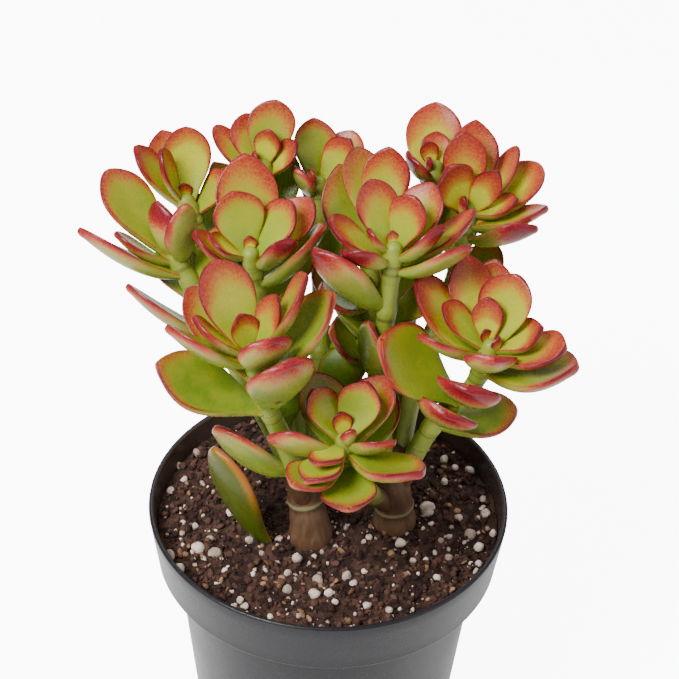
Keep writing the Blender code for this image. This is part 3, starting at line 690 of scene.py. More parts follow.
# The pot's profile, from the middle of its floor up its inside, over a round lip and down outside.
def potProfile(form):
    wall, turn, floor = form["wall"], form["floorRound"], form["floor"]
    foot = form["height"] - form["collarHeight"]
    corner = form["baseRadius"] - wall - turn
    collarFoot, shoulder = form["collarFootRadius"], form["shoulderRadius"]
    inside = [(form["middle"], floor), (corner, floor)]
    inside += arc((corner, floor + turn), turn, -80, -4, 5)
    inside += [(shoulder - wall, foot - form["stepDepth"]), (collarFoot - wall - 0.3, foot + wall),
               (collarFoot - wall, foot + wall + 0.3)]
    lip = arc((form["rimRadius"] - wall / 2, form["height"] - wall / 2), wall / 2, 180, 0, 13)
    collar = [(collarFoot + 0.25, foot + 0.9)]
    collar += arc((collarFoot - 0.35, foot + 0.55), 0.6, 10, -80, 5)
    outside = [(shoulder + 0.5, foot - 0.95), (shoulder - 0.05, foot - 1.5)]
    base = arc((form["baseRadius"] - form["baseRound"], form["baseRound"]), form["baseRound"], 0, -90, 5)
    return inside + lip + collar + outside + base + [(form["middle"], 0.0)]


def evenProfile(profile, step):  # more points on the long legs, none moved
    finer = []
    for (r0, z0), (r1, z1) in zip(profile[:-1], profile[1:]):
        count = max(int(np.hypot(r1 - r0, z1 - z0) / step), 1)
        finer += [(r0 + (r1 - r0) * k / count, z0 + (z1 - z0) * k / count) for k in range(count)]
    return np.array(finer + [profile[-1]])


def turnedPoints(profile, around):  # each profile point swept round the upright axis, with two poles
    angle = evenTurns(around)
    rings = np.stack([profile[:, :1] * np.cos(angle), profile[:, :1] * np.sin(angle),
                      np.repeat(profile[:, 1:], around, 1)], -1)
    start, end = [[0, 0, profile[0, 1]]], [[0, 0, profile[-1, 1]]]
    return np.vstack([start, rings.reshape(-1, 3), end])


def makePot(form):
    profile = evenProfile(potProfile(form), form["ringStep"])
    build = Build()
    build.add(turnedPoints(profile, form["around"]), ringFaces(len(profile), form["around"]))
    pot = build.piece("potFine", [potMaterial()], "pot", "pot_plastic")
    cutters = bpy.data.collections.new("drains")
    bpy.context.scene.collection.children.link(cutters)
    quads, fans = ringFaces(3, form["drainAround"])
    for angle in evenTurns(form["drains"]):
        across, ahead = form["drainCircle"] * np.cos(angle), form["drainCircle"] * np.sin(angle)
        path = np.array([[across, ahead, z]
                         for z in (-form["drainOverrun"], 0.0, form["floor"] + form["drainOverrun"])])
        points = tubePoints(path, [form["drainRadius"]] * 3, form["drainAround"])
        mesh = newMesh("drain", points, quads.tolist() + fans.tolist())
        cutters.objects.link(bpy.data.objects.new("drain", mesh))
    cut = pot.modifiers.new("drains", "BOOLEAN")
    cut.operation, cut.operand_type, cut.solver = "DIFFERENCE", "COLLECTION", "EXACT"
    cut.collection = cutters
    bpy.context.view_layer.update()
    solid = bpy.data.meshes.new_from_object(pot.evaluated_get(bpy.context.evaluated_depsgraph_get()))
    pot.modifiers.clear()
    pot.data = solid
    for drain in list(cutters.objects):
        bpy.data.objects.remove(drain)
    bpy.data.collections.remove(cutters)
    solid.shade_smooth()
    solid.set_sharp_from_angle(angle=np.radians(form["sharpAngle"]))


makePot(potForm)
print("pot made")


# Soil

# Lumps strewn on the soil: how many, their least and most half length and the power that favours
# the small, how far they keep from the wall, how stretched and rough they are, how high they lie
Lumps = namedtuple("Lumps", "count least most power margin stretch roughness rise")

soilForm = {
    "level": 82.0,
    "edgeDrop": 0.5,
    "unevenness": 0.7,
    "waves": (7.0, 6.0, 3.1),
    "heaps": [(0.55, 5.0, 3), (0.5, 2.2, 5)],    # height, size and seed of each noise
    "clods": (0.4, 1.1, 8),
    "grit": (0.18, 0.55, 9),
    "settled": 0.6,
    "gap": 0.3,
    "rings": 150,
    "around": 360,
    "flare": 2.5,             # how much the collar widens from its foot to the rim
    "crumbs": Lumps(2700, 0.3, 1.35, 2.2, 1.2, (0.6, 1.2), 0.45, 0.15),
    "bark": Lumps(520, 0.7, 2.1, 1.0, 3.0, (0.3, 1.0), 0.4, 0.1),
    "fibres": Lumps(150, 0.7, 1.6, 1.0, 3.0, (0.15, 1.1), 0.3, 0.4),
    "perlite": Lumps(360, 0.18, 1.0, 2.0, 2.0, (0.7, 1.2), 0.4, 0.25),
    "seed": 11,
}

# The larger grains of perlite: where each shows in the picture, across and down, and its half length
largeGrains = [
    (198, 549, 2.1), (215, 553, 2.2), (210, 538, 1.1), (170, 553, 1.7), (179, 568, 1.6), (250, 541, 1.6),
    (279, 540, 1.5), (231, 512, 1.5), (197, 454, 1.7), (178, 463, 1.4), (202, 481, 1.4), (171, 490, 1.2),
    (195, 527, 1.3), (182, 533, 1.0), (262, 554, 0.9), (297, 561, 1.8), (288, 573, 1.3), (287, 589, 1.5),
    (318, 581, 1.9), (314, 596, 1.7), (328, 595, 1.4), (335, 604, 1.1), (225, 570, 1.0), (218, 582, 1.1),
    (240, 598, 1.1), (244, 604, 1.3), (233, 605, 0.9), (270, 616, 1.0), (298, 617, 1.1), (322, 550, 0.9),
    (336, 546, 1.0), (278, 562, 0.8), (427, 508, 2.5), (444, 461, 1.3), (455, 468, 1.3), (445, 481, 1.6),
    (470, 469, 1.4), (483, 499, 1.3), (485, 515, 1.9), (493, 535, 1.4), (470, 534, 2.0), (479, 546, 1.7),
    (479, 560, 1.3), (459, 518, 1.4), (431, 524, 0.9), (409, 535, 1.2), (400, 544, 1.6), (441, 543, 1.1),
    (449, 538, 0.9), (435, 552, 0.9), (426, 561, 1.0), (413, 562, 1.1), (404, 556, 1.0), (449, 557, 1.3),
    (437, 577, 1.3), (369, 539, 1.3), (345, 528, 1.4), (347, 575, 1.7), (364, 572, 0.9), (353, 583, 1.1),
    (366, 606, 1.3), (389, 608, 1.4),
]


def soilHeight(x, y):  # the CAD soil's long waves, and heaps, clods and grit from noise of four sizes
    longWave, crossWave, ripple = soilForm["waves"]
    wave = np.sin(x / longWave + 1.3) * np.cos(y / crossWave) + 0.4 * np.sin((x + y) / ripple)
    flat = np.stack([x, y], -1)
    heaps = sum(high * latticeNoise(flat, size, seed) for high, size, seed in soilForm["heaps"])
    clod, *clodNoise = soilForm["clods"]
    grit, *gritNoise = soilForm["grit"]
    loose = clod * np.abs(latticeNoise(flat, *clodNoise)) + grit * latticeNoise(flat, *gritNoise)
    return soilForm["level"] + soilForm["unevenness"] * wave + heaps + loose - soilForm["settled"]


def soilMaterial(name, dark, brown, pale):
    material = newMaterial(name)
    place = objectPlace()
    dust = placeGroup(dustGroup, Place=place, Scale=260.0, Amount=0.8)
    cells = cellsOf(place, 430.0)
    chips = blend(steps(cells.of("Color"), 0.25, 0.8), dark, brown)
    grains = steps(noise(place, 900.0, 3.0, 0.7), 0.6, 0.74)
    return dress(material, Specular_IOR_Level=0.25, Roughness=0.92,
                 Base_Color=blend(grains * dust.of("Mask"), chips, pale),
                 Normal=bump(dust.of("Grit") + cells.of("Distance"), 0.8, 0.0006))


def perliteMaterial():
    material = newMaterial("perliteWhite")
    place = objectPlace()
    dust = placeGroup(dustGroup, Place=place, Scale=380.0, Amount=0.95)
    pores = cellsOf(place, 1900.0).of("Distance")
    white = blend(steps(noise(place, 130.0, 2.0), 0.4, 0.62), (0.34, 0.25, 0.20), (0.78, 0.66, 0.57))
    colour = blend(dust.of("Mask"), white, (0.17, 0.09, 0.06))
    return dress(material, Specular_IOR_Level=0.3, Roughness=0.85,
                 Base_Color=blend(steps(pores, 0.35, 0.05), colour, (0.50, 0.42, 0.36)),
                 Normal=bump(pores, 0.6, 0.0004))


def turnsFrom(draw, count):  # even random turns, from unit quaternions, as an array of matrices
    q = draw.normal(size=(count, 4))
    w, x, y, z = (q / np.linalg.norm(q, axis=1)[:, None]).T
    return np.stack([1 - 2 * (y * y + z * z), 2 * (x * y - z * w), 2 * (x * z + y * w),
                     2 * (x * y + z * w), 1 - 2 * (x * x + z * z), 2 * (y * z - x * w), 2 * (x * z - y * w),
                     2 * (y * z + x * w), 1 - 2 * (x * x + y * y)], -1).reshape(-1, 3, 3)


def ballShape(rings, around):  # a ball of rings of points between two poles
    polar = np.repeat(np.pi * np.arange(1, rings + 1) / (rings + 1), around)
    angle = np.tile(evenTurns(around), rings) + polar
    middle = np.stack([np.sin(polar) * np.cos(angle), np.sin(polar) * np.sin(angle), np.cos(polar)], -1)
    return np.vstack([[[0, 0, 1]], middle, [[0, 0, -1]]]), *ringFaces(rings, around)


# Many lumps in one block: each is the ball with its points pushed in or out by noise, stretched,
# turned, and set down on the soil, raised by part of its size.
def scatterLumps(build, spots, sizes, stretch, roughness, draw, rise, ball=(4, 6)):
    shape, quads, fans = ballShape(*ball)
    count = len(spots)
    shift = draw.uniform(0, 90, (count, 1, 3))
    bumps = latticeNoise((shape[None] + shift).reshape(-1, 3), 0.85, 4).reshape(count, -1, 1)
    shapes = shape[None] * (1 + roughness * bumps)
    shapes = shapes * (sizes[:, None] * draw.uniform(*stretch, (count, 3)))[:, None]
    shapes = np.einsum("nij,nkj->nki", turnsFrom(draw, count), shapes)
    height = soilHeight(spots[:, 0], spots[:, 1]) + sizes * rise
    shapes = shapes + np.column_stack([spots, height])[:, None]
    offset = (np.arange(count) * len(shape))[:, None, None]
    build.add(shapes.reshape(-1, 3),
              [(quads[None] + offset).reshape(-1, 4), (fans[None] + offset).reshape(-1, 3)])


# The lumps of one kind, evenly over the soil, or from twice as many spots mostly those in front.
def strewLumps(build, kind, edge, draw, front=None):
    sizes = kind.least + (kind.most - kind.least) * draw.uniform(0, 1, kind.count) ** kind.power
    total = kind.count * 2 if front else kind.count
    far = (edge - kind.margin) * np.sqrt(draw.uniform(0, 1, total))
    angle = draw.uniform(0, 2 * np.pi, total)
    spots = np.stack([far * np.cos(angle), far * np.sin(angle)], -1)
    if front:
        nearFront = draw.uniform(*front, total) > spots[:, 1]
        spots = spots[np.argsort(~nearFront, kind="stable")][:kind.count]
    scatterLumps(build, spots, sizes, kind.stretch, kind.roughness, draw, kind.rise)


def underPicture(across, down):  # where the sight lines through places in the picture meet the soil
    ahead, right, up = cameraAxes(cameraView)
    half = cameraView["pictureWidth"] / 2
    ray = (ahead + np.outer((across - half) / cameraView["focalPixels"], right)
           - np.outer((down - half) / cameraView["focalPixels"], up))
    eye = np.array(cameraView["place"]) / mm
    far = (soilForm["level"] - eye[2]) / ray[:, 2]
    return (eye + far[:, None] * ray)[:, :2]


# The soil's points: its rough top in rings, closer towards the wall, then the pot's inside, a gap away.
def soilPoints(form, edge, wall, foot):
    radii = edge * np.linspace(0.004, 1, form["rings"]) ** 0.9
    angle = evenTurns(form["around"])
    x, y = np.outer(radii, np.cos(angle)), np.outer(radii, np.sin(angle))
    top = soilHeight(x.ravel(), y.ravel()).reshape(x.shape)
    top -= form["edgeDrop"] * (radii[:, None] / edge) ** 8
    side = np.array([(potForm["collarFootRadius"] - wall, foot + wall),
                     (potForm["shoulderRadius"] - wall, foot - 1.2),
                     (potForm["baseRadius"] - wall, potForm["floor"] + form["gap"])])
    return np.vstack([[[0, 0, top[0].mean()]], np.stack([x, y, top], -1).reshape(-1, 3),
                      turnedPoints(side, form["around"])[1:-1], [[0, 0, side[-1, 1]]]])


def makeSoil(form):
    draw = np.random.default_rng(form["seed"])
    wall = potForm["wall"] + form["gap"]
    foot = potForm["height"] - potForm["collarHeight"]
    widening = (form["level"] - foot) * form["flare"] / potForm["collarHeight"]
    edge = potForm["collarFootRadius"] - wall + widening
    soil, crumbs, fibres, perlite = Build(), Build(), Build(), Build()
    soil.add(soilPoints(form, edge, wall, foot), ringFaces(form["rings"] + 3, form["around"]))
    soil.piece("soilFine", [soilMaterial("soilCrumb", (0.020, 0.009, 0.0065), (0.065, 0.030, 0.021),
                                         (0.24, 0.15, 0.11))], "soil", "potting_soil")
    strewLumps(crumbs, form["crumbs"], edge, draw)
    strewLumps(crumbs, form["bark"], edge, draw)
    crumbs.piece("soilCrumbs", [soilMaterial("soilBits", (0.028, 0.012, 0.009), (0.100, 0.047, 0.033),
                                             (0.32, 0.21, 0.15))], None, "potting_soil")
    strewLumps(fibres, form["fibres"], edge, draw)
    fibres.piece("barkChips", [soilMaterial("barkChips", (0.15, 0.07, 0.03), (0.34, 0.20, 0.11),
                                            (0.45, 0.32, 0.2))], None, "potting_soil")
    strewLumps(perlite, form["perlite"], edge, draw, (-30, 60))
    across, down, halves = np.array(largeGrains, float).T
    scatterLumps(perlite, underPicture(across, down), halves, (0.75, 1.05), 0.32, draw, 0.35, (9, 12))
    perlite.piece("perlite", [perliteMaterial()], None, "potting_soil")


makeSoil(soilForm)
print("soil made")


# Trunks

trunkForm = {
    "depth": 16.0,
    "footRadius": 6.1,
    "topRadius": 4.6,
    "around": 56,
    "step": 0.55,
    "evening": 12,            # rounds of smoothing of its midline
    "capLength": 4.0,
    "grain": 0.12,            # how rough the bark is, in mm
    "grainSize": 2.6,
    "grainRadius": 6,         # the bark's noise is read on a tube of this radius
    "grainStretch": 0.35,     # and at this share of the height
    "grainSeed": 21,
    "rings": {"stem_left": [13.0, 25.0], "stem_right": [6.5, 19.0]},   # leaf scars above the soil
    "ringRise": 0.42,
    "ringWidth": 0.75,
    "waist": (0.22, 2.2, 1.6),   # how deep below each ring, how far below it, how long
    "flare": (0.5, -0.5, 3.0),   # how wide at the soil, at what height, how long
    "green": (22, 16, 0.75),     # where the bark turns green above the soil, over what length, how far
}


def barkMaterial():
    material = newMaterial("jadeBark")
    place = objectPlace()
    stretched = put("ShaderNodeMapping", {"Vector": place, "Scale": (1.0, 1.0, 0.3)})
    speckle = placeGroup(speckleGroup, Place=place, Dot_Scale=1300.0, Mottle_Scale=200.0)
    mottle = speckle.of("Mottle")
    dust = placeGroup(dustGroup, Place=place, Scale=150.0, Amount=0.4).of("Mask")
    fibres = noise(stretched, 420.0, 4.0, 0.6, 0.6)
    aged = blend(steps(fibres, 0.3, 0.7), (0.080, 0.036, 0.015), (0.135, 0.070, 0.033))
    fresh = blend(steps(fibres, 0.3, 0.7), (0.065, 0.026, 0.009), (0.12, 0.052, 0.018))
    bark = blend(readMark("fresh"), aged, fresh)
    green = blend(mottle, (0.12, 0.16, 0.012), (0.27, 0.30, 0.035))
    edge = (mottle - 0.5) * 0.7 + readMark("greenness")
    colour = blend(steps(edge, 0.35, 0.65), bark, green)
    colour = blend(steps(readMark("scar"), 0.25, 0.9), colour, (0.20, 0.18, 0.08))
    return dress(material, Roughness=fibres * 0.3 + 0.45,
                 Base_Color=blend(dust, colour, (0.07, 0.04, 0.025)),
                 Normal=bump(speckle.of("Relief") * 0.4 + fibres, 0.35, 0.0005))


# A shoot's stem between two lengths along its path: a tapering tube with a swelling at each leaf pair.
def stemBlock(build, shoot, start, end, slot=0, cap=False, **marks):
    path = smoothPath(shoot.path)
    count = max(int((end - start) / stemForm["step"]), 4)
    lengths = np.linspace(start, end, count)
    centres = evened(alongPath(path, lengths), 3)
    nodes = sorted({leaf.down for leaf in shoot.leaves if leaf.long > stemForm["largeLeaf"]})
    below = lengths[:, None] - np.array(nodes, float)
    (swellAt, swellLong), (scarAt, scarLong) = stemForm["bump"], stemForm["scar"]
    swell = np.exp(-((below - swellAt) / swellLong) ** 2).sum(1) * stemForm["nodeSwell"]
    radii = stemRadius(lengths, pathLengths(path)[-1]) + np.minimum(swell, stemForm["mostSwell"])
    scar = np.exp(-((below - scarAt) / scarLong) ** 2).max(1)
    if cap:
        centres, radii = domed(centres, radii)
        extra = len(centres) - count
        lengths = np.concatenate([np.full(extra, start), lengths])
        scar = np.concatenate([np.zeros(extra), scar])
    around = stemForm["around"]
    rows = tubeRows(len(centres), around)
    values = {name: value(lengths)[rows] if callable(value) else value for name, value in marks.items()}
    build.add(tubePoints(centres, radii, around), ringFaces(len(centres), around), slot,
              scar=scar[rows] * stemForm["scarDepth"], **values)


# A trunk: a tube along its knots, wider at its foot, with a raised ring and a waist at each leaf scar
# and rough with noise, and in the same mesh the branches that its shoots grow from.
def makeTrunk(name, form, bark):
    knots = np.array(trunks[name], float)
    radii = np.linspace(form["topRadius"], form["footRadius"], len(knots))
    radii[-2:] = form["footRadius"]
    way = pathLengths(knots)
    cap = form["capLength"]
    lengths = np.arange(0, way[-1] - form["depth"] + cap, form["step"])
    centres = evened(alongPath(knots, lengths), form["evening"])
    above = centres[:, 2] - soilForm["level"]
    rings = form["rings"][name]
    deep, below, waistLength = form["waist"]
    wide, at, flareLength = form["flare"]
    scars = sum(np.exp(-((above - ring) / form["ringWidth"]) ** 2) for ring in rings)
    waist = sum(np.exp(-((above - ring + below) / waistLength) ** 2) for ring in rings)
    base = np.interp(lengths, way, radii) + form["ringRise"] * scars - deep * waist
    base = base + wide * np.exp(-((above - at) / flareLength) ** 2)
    base = base * np.sqrt(1 - (1 - np.clip(lengths / cap, 0.02, 1)) ** 2)
    around = form["around"]
    angle = evenTurns(around)
    ring = np.stack([np.cos(angle), np.sin(angle)], -1) * form["grainRadius"]
    sample = np.column_stack([np.tile(ring, (len(centres), 1)),
                              np.repeat(centres[:, 2] * form["grainStretch"], around)])
    bumps = roughNoise(sample, form["grainSize"], form["grainSeed"] + len(name), 3)
    bumps = bumps.reshape(len(centres), around)
    bumps = form["grain"] * bumps * np.clip(base / 3, 0, 1)[:, None]
    rows = tubeRows(len(centres), around)
    start, over, most = form["green"]
    build = Build("greenness", "scar", "fresh")
    build.add(tubePoints(centres, base[:, None] + bumps, around), ringFaces(len(centres), around),
              greenness=np.clip((above - start) / over, 0, most)[rows], scar=scars[rows],
              fresh=np.clip((above - rings[0]) / 1.2 + 0.5, 0, 1)[rows])
    for shoot in shoots.values():
        if shoot.trunk == name:
            path = smoothPath(shoot.path)
            end = pathLengths(path)[-1]
            stemBlock(build, shoot, lengthAtHeight(path, shoot.fork) - stemForm["tuck"], end,
                      greenness=lambda lengths: np.clip((end - lengths - 5) / 20, 0, 1), fresh=1.0)
    build.piece("trunk_" + name.split("_")[1], [bark], name, "woody_stem")


bark = barkMaterial()
for trunkName in trunks:
    makeTrunk(trunkName, trunkForm, bark)
print("trunks made")


# Leafy heads

bladeForm = {
    "rings": 36,
    "around": 32,
    "across": 0.9,            # power of the cosine across the blade
    "innerFlat": 1.15,        # powers of the sine: above 1 the face runs flat into the edge
    "outerRound": 0.78,
    "curlSpread": 8.0,        # degrees that the curl differs by
    "pointed": (0.55, 0.86),  # powers that close the tip: above a half it comes to a soft point
    "widest": (0.60, 0.68),   # where along the blade it is widest
    "uneven": 0.07,           # how much wider one side is than the other
    "waves": 5.0,             # radians that the edge's wave runs through
    "waveHeight": 0.03,       # of the width
    "slant": 0.03,            # how far the tip may stand aside, of the length
    "hollow": 0.045,          # how far the inner face dips between its edges, of the width
    "edgePoints": 90,
}

# What each point of a blade tells its skin: mm from the rim, share of the length, which face, side
# to the sun, and its leaf's redness, youth and depth of green
bladeMarks = ("rim", "along", "inner", "sunny", "red", "young", "deep")

# Each head's flush of red and depth of green, from 0 to 1
headTones = {
    "head_front_left": (0.42, 0.52),
    "head_front_low": (0.38, 0.62),
    "head_right": (0.56, 0.30),
    "head_centre": (0.56, 0.30),
    "head_middle_left": (0.44, 0.42),
    "head_left": (0.42, 0.38),
    "head_back_far_left": (0.46, 0.34),
    "head_back_left": (0.50, 0.45),
    "head_back_middle": (0.42, 0.42),
    "head_back_right": (0.66, 0.10),
    "head_back_high": (0.76, 0.08),
    "head_centre_back": (0.80, 0.55),
}


# How the leaves of a head differ: from the tip down they fade and deepen, and each is drawn apart
toneForm = {
    "oldAt": 34,              # mm down the stem
    "grownLength": 14,
    "youth": 1.15,
    "fading": 0.45,
    "redSpread": 0.26,
    "leastRed": 0.08,
    "deepening": 1.1,
    "youngPaling": 0.5,
    "deepSpread": 0.30,
}


def bladeGrid(rings, around):  # u from root to tip by a cosine, and the turn round the blade
    u = (1 - np.cos(np.pi * np.arange(1, rings) / rings)) / 2
    u, turn = np.meshgrid(u, -evenTurns(around), indexing="ij")
    return np.concatenate([[0.0], u.ravel(), [1.0]]), np.concatenate([[0.0], turn.ravel(), [0.0]])


def rimDistance(leaf, u, across, width, edge):  # in mm from the outline, in the leaf's plane
    spot = np.stack([leaf.long * u, np.abs(across) * width * leaf.wide / 2], -1)
    return np.linalg.norm(spot[:, None] - edge[None], axis=2).min(1)


# One fine blade: rings of points round the midline. The inner face is a flat power of the sine
# with a shallow hollow, the outer one a full power, so they meet in a clear edge that waves a little.
def bladeBlock(build, leaf, root, turned, tone, draw):
    u, turn = bladeGrid(bladeForm["rings"], bladeForm["around"])
    pole = np.zeros(len(u), bool)
    pole[[0, -1]] = True
    cosine, sine = np.cos(turn), np.sin(turn)
    pointed, widest = draw.uniform(*bladeForm["pointed"]), draw.uniform(*bladeForm["widest"])
    width = leafOutline(u, pointed, widest)
    across = np.where(pole, 0, np.sign(cosine) * np.abs(cosine) ** bladeForm["across"])
    across = across * (1 + bladeForm["uneven"] * draw.uniform(-1, 1) * np.sign(across) * np.sin(np.pi * u))
    power = np.where(sine > 0, bladeForm["innerFlat"], bladeForm["outerRound"])
    depth = np.where(sine > 0, leafForm["innerFace"], leafForm["outerFace"])
    lift = np.where(pole, 0, depth * np.sign(sine) * np.abs(sine) ** power)
    phase, slant = draw.uniform(0, 2 * np.pi, 2)
    wave = np.sin(bladeForm["waves"] * u + phase) * across * np.abs(across)
    wave = bladeForm["waveHeight"] * leaf.wide * wave
    hollow = np.where(sine > 0, sine ** 2, 0) * bladeForm["hollow"] * leaf.wide * np.sin(np.pi * u)
    curl = leafForm["curl"] + bladeForm["curlSpread"] * draw.uniform(-1, 1)
    points = leafPoints(leaf, u, across, lift, curl, wave - hollow, width)
    points[:, 1] += bladeForm["slant"] * leaf.long * np.sin(slant) * u ** 2
    along = np.linspace(0, 1, bladeForm["edgePoints"])
    edge = np.stack([leaf.long * along, leafOutline(along, pointed, widest) * leaf.wide / 2], -1)
    rim = rimDistance(leaf, u, across, width, edge)
    rim = np.hypot(rim, np.where(sine < 0, 0.5 * np.abs(lift) * leafThickness(leaf.wide), 0))
    sunny = draw.uniform(-1, 1) * np.where(pole, 0, cosine)
    build.add(points @ turned.T + root, ringFaces(bladeForm["rings"] - 1, bladeForm["around"]),
              rim=rim, along=u, inner=np.where(pole, 0, sine), sunny=sunny, **tone)


def leafTone(name, leaf, draw):  # redder and fresher towards the tip, deeper down the stem, from 0 to 1
    red, deep = headTones[name]
    age = np.clip(leaf.down / toneForm["oldAt"], 0, 1)
    young = np.clip(toneForm["youth"] - leaf.long / toneForm["grownLength"], 0, 1)
    red = red - toneForm["fading"] * age + toneForm["redSpread"] * draw.uniform(-1, 1)
    red = np.clip(red, toneForm["leastRed"], 1)
    deep = deep + toneForm["deepening"] * age - toneForm["youngPaling"] * young
    deep = np.clip(deep + toneForm["deepSpread"] * draw.uniform(-1, 1), 0, 1)
    return {"red": red, "young": young, "deep": deep}


def flushRamp(factor, stops):  # colours at their places along the factor
    flow = put("ShaderNodeValToRGB", {"Fac": factor})
    ramp = flow.socket.node.color_ramp
    while len(ramp.elements) < len(stops):
        ramp.elements.new(0.5)
    for element, (position, colour) in zip(ramp.elements, stops):
        element.position = position
        element.color = (*colour, 1.0)
    return flow


def blemishPlace(head, number, along, across):  # a point on a blade's outer face, in metres, and its facing
    leaf, root, turned = heads[head][number]
    lift = -leafForm["outerFace"] * (1 - across ** 2) ** 0.4
    point = leafPoints(leaf, np.array([along]), np.array([across]), np.array([lift]))
    return ((point @ turned.T + root)[0] * mm).tolist(), turned[:, 2].tolist()


# How far a point lies from a spot, in metres, with most of the part along the spot's facing left out
def spotDistance(place, spot, facing):
    offset = vectors("SUBTRACT", place, spot)
    depth = vectors("DOT_PRODUCT", offset, facing).of("Value") * 0.9
    return vectors("DISTANCE", offset, vectors("SCALE", facing, Scale=depth)).of("Value")


def leafMaterial(name, inside, outside, innerFlush, outerFlush, spots=()):
    material = newMaterial(name)
    place = objectPlace()
    rim, along, inner, sunny, red, young, deep = (readMark(mark) for mark in bladeMarks)
    speckle = placeGroup(speckleGroup, Place=place, Dot_Scale=1700.0, Mottle_Scale=300.0)
    broad = noise(place, 110.0, 3.0)
    grain = noise(place, 1700.0, 2.0, 0.7) - 0.5

    # plain skin: olive to deep green within, pale beneath, greener towards the root
    rooty = steps(along, 0.62, 0.05)
    olive = blend(young, blend(deep, inside["sunny"], inside["shady"]), inside["young"])
    olive = blend(rooty * 0.7, olive, inside["root"])
    pale = blend(deep, outside["sunny"], outside["shady"])
    pale = blend(rooty * 0.85, pale, outside["root"])
    face = steps(inner, -0.10, 0.06)
    colour = blend(steps(broad, 0.35, 0.7) * 0.22, blend(face, pale, olive), inside["light"])
    blush = steps(grain, -0.10, 0.12) * red * steps(along, 0.15, 0.8) * 0.95
    colour = blend(blush, colour, inside["blush"])

    # how far the flush reaches in from the rim, in mm: more when redder, towards the tip, and on the
    # side turned to the sun; fine grain frays its edge
    reach = (red * 9.0 + 0.6) * steps(along, 0.40, 1.0, 0.04, 1.7) * (sunny * 0.6 + 1.0)
    reach = reach * (broad * 1.4 + 0.3) * (young * -0.85 + 1.0)
    within = steps(grain * 1.3 + rim / (reach + 0.2), 2.6, -0.5)
    # beneath, it comes down from the tip, and along the rim
    climb = grain * 0.30 + (sunny * 0.10 + along - (red * -0.85 + 0.86))
    nearRim = steps(grain * 1.2 + rim, 2.6, 0.2) * steps(along, 0.25, 0.8, 0.15, 0.9)
    beneath = maths("MAXIMUM", steps(climb, 0.0, 0.52), nearRim)
    # the deeper the green, the later it gives way to the flush, so the flush shows as a narrow crimson rim
    late = deep * 0.5
    colourWithin = blend(steps(within, late, late + 0.6), colour, flushRamp(within, innerFlush))
    colourBeneath = blend(steps(beneath, 0.0, 0.6), colour, flushRamp(beneath, outerFlush))
    colour = blend(face, colourBeneath, colourWithin)
    colour = blend(speckle.of("Dots") * (red * 0.25 + 0.05), colour, inside["dots"])

    # the rim itself: a thin dark line, broken here and there; then the scars, ragged with the grain
    line = steps(rim, 0.62, 0.10) * steps(along, 0.2, 0.6) * steps(broad, 0.35, 0.6, 0.35, 1.0)
    colour = blend(line, colour, inside["rim"])
    for spot, facing, radius in spots:
        ragged = grain * 0.0016 + spotDistance(place, spot, facing)
        mark = steps(ragged, radius * mm, radius * mm * 0.3, 0.0, 0.85)
        colour = blend(mark, colour, (0.045, 0.035, 0.025))
    return dress(material, Specular_IOR_Level=0.24, Subsurface_Weight=0.05, Subsurface_Scale=0.0015,
                 Subsurface_Radius=(1.0, 0.6, 0.15), Base_Color=colour,
                 Roughness=speckle.of("Mottle") * 0.26 + 0.15,
                 Normal=bump(speckle.of("Relief"), 0.22, 0.0003))


def stemMaterial():
    material = newMaterial("greenStem")
    speckle = placeGroup(speckleGroup, Place=objectPlace(), Dot_Scale=1500.0, Mottle_Scale=220.0)
    green = blend(speckle.of("Mottle"), (0.13, 0.18, 0.012), (0.28, 0.32, 0.035))
    colour = blend(speckle.of("Dots") * 0.2, green, (0.36, 0.36, 0.08))
    return dress(material, Specular_IOR_Level=0.35, Roughness=0.45,
                 Base_Color=blend(steps(readMark("scar"), 0.2, 0.6), colour, (0.12, 0.12, 0.02)),
                 Normal=bump(speckle.of("Relief"), 0.3, 0.0005))


heads = bendClear()
# Small dark scars: the head, the leaf's number, how far along and across it, and the radius in mm
blemishes = [
    ("head_front_left", 9, 0.42, -0.12, 1.5), ("head_front_left", 9, 0.26, -0.28, 1.0),
    ("head_front_left", 12, 0.62, -0.3, 1.4), ("head_right", 12, 0.55, 0.3, 0.8),
]
leafSkin = leafMaterial(
    "jadeLeaf",
    {"sunny": (0.44, 0.46, 0.018), "shady": (0.085, 0.175, 0.009), "young": (0.66, 0.60, 0.014),
     "root": (0.15, 0.25, 0.012), "light": (0.50, 0.42, 0.03), "dots": (0.42, 0.10, 0.03),
     "blush": (0.38, 0.18, 0.025), "rim": (0.10, 0.005, 0.012)},
    {"sunny": (0.43, 0.44, 0.10), "shady": (0.12, 0.19, 0.022), "root": (0.14, 0.235, 0.014)},
    [(0.0, (0.37, 0.33, 0.012)), (0.36, (0.38, 0.24, 0.013)), (0.66, (0.39, 0.155, 0.016)),
     (0.84, (0.35, 0.058, 0.018)), (0.95, (0.25, 0.011, 0.014)), (1.0, (0.15, 0.005, 0.010))],
    [(0.0, (0.48, 0.39, 0.09)), (0.32, (0.46, 0.25, 0.065)), (0.62, (0.38, 0.080, 0.034)),
     (0.84, (0.28, 0.015, 0.018)), (1.0, (0.16, 0.005, 0.012))],
    [(*blemishPlace(*place), radius) for *place, radius in blemishes])
greenStem = stemMaterial()


def makeHead(name, blades, draw):
    shoot = shoots[name]
    build = Build(*bladeMarks, "scar")
    fork = lengthAtHeight(smoothPath(shoot.path), shoot.fork)
    stemBlock(build, shoot, 0.0, fork + stemForm["tuck"], 1, cap=True)
    for leaf, root, turned in blades:
        bladeBlock(build, leaf, root, turned, leafTone(name, leaf, draw), draw)
    build.piece("fine_" + name, [leafSkin, greenStem], name, "leaf")


draw = np.random.default_rng(5)
for headName, blades in heads.items():
    makeHead(headName, blades, draw)
print("heads made")


# Shed leaf

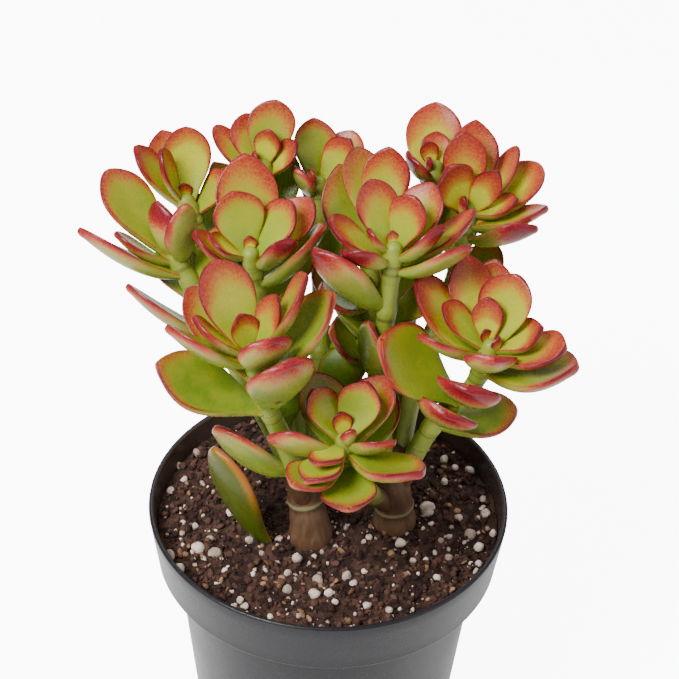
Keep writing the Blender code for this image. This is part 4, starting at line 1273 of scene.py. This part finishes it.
shedLeaf = Leaf(0, 165, 26, 38, 17, -60)
shedLeafRoot = (-17.0, -12.0, soilForm["level"] - 2.0)
shedTone = {"red": 0.10, "young": 0.0, "deep": 0.6}
shedFlush = [(0.0, (0.12, 0.11, 0.008)), (0.4, (0.26, 0.13, 0.010)), (0.8, (0.36, 0.11, 0.014)),
             (1.0, (0.32, 0.10, 0.03))]


def makeShedLeaf():
    skin = leafMaterial(
        "shedLeafSkin",
        {"sunny": (0.10, 0.11, 0.008), "shady": (0.035, 0.055, 0.005), "young": (0.3, 0.2, 0.03),
         "root": (0.06, 0.10, 0.006), "light": (0.08, 0.09, 0.01), "dots": (0.22, 0.14, 0.03),
         "blush": (0.14, 0.10, 0.01), "rim": (0.30, 0.10, 0.03)},
        {"sunny": (0.10, 0.11, 0.010), "shady": (0.035, 0.055, 0.005), "root": (0.06, 0.10, 0.006)},
        shedFlush, shedFlush)
    build = Build(*bladeMarks)
    bladeBlock(build, shedLeaf, np.array(shedLeafRoot), leafFrame(shedLeaf), shedTone, draw)
    build.piece("shedLeafFine", [skin], "shed_leaf", "leaf")


makeShedLeaf()
print("shed leaf made")


# Floor and light

studio = {
    "floorSize": 6000.0,      # mm
    "paperGlow": 9.0,         # how brightly the white surroundings show, past the light they give
    "skyStrength": 0.47,
    "mirrored": 0.6,          # how much brighter the floor is in reflections, for the pot's edges
    "lamps": [                # place, aims at, size, watts
        ((-0.45, -0.40, 0.85), (0.0, 0.0, 0.13), 0.40, 17.5),
        ((0.65, -0.25, 0.55), (0.0, 0.0, 0.13), 0.7, 2.2),
        ((0.0, 0.6, 0.9), (0.0, 0.0, 0.13), 0.6, 4.6),
    ],
}


def makeFloor():
    half = studio["floorSize"] / 2
    corners = np.array([(-half, -half, 0), (half, -half, 0), (half, half, 0), (-half, half, 0)])
    mesh = newMesh("floor", corners, [(0, 1, 2, 3)])
    floor = bpy.data.objects.new("floor", mesh)
    bpy.context.scene.collection.objects.link(floor)
    material = newMaterial("paleFloor")
    pale = blend(noise(objectPlace(), 9.0, 2.0), (0.90, 0.90, 0.90), (0.93, 0.93, 0.93))
    path = put("ShaderNodeLightPath")
    glow = path.of("Is Camera Ray") * studio["paperGlow"] + path.of("Is Glossy Ray") * studio["mirrored"]
    mesh.materials.append(dress(material, Roughness=0.8, Base_Color=pale, Emission_Color=(1.0, 1.0, 1.0),
                                Emission_Strength=glow))


def makeLamps():
    world = bpy.data.worlds.new("studio")
    world.use_nodes = True
    work["tree"] = world.node_tree
    seen = put("ShaderNodeLightPath").of("Is Camera Ray")
    feed(world.node_tree.nodes["Background"],
         {"Color": (1.0, 1.0, 1.0), "Strength": seen * studio["paperGlow"] + studio["skyStrength"]})
    bpy.context.scene.world = world
    for number, (place, target, size, watts) in enumerate(studio["lamps"]):
        light = bpy.data.lights.new(f"lamp{number}", "AREA")
        light.energy, light.size = watts, size
        back = np.array(place) - np.array(target)
        back = back / np.linalg.norm(back)
        side = np.cross([0, 0, 1], back)
        side /= np.linalg.norm(side)
        setUp(bpy.data.objects.new(f"lamp{number}", light), side, np.cross(back, side), back, place)


makeFloor()
makeLamps()
print("floor and lamps set")
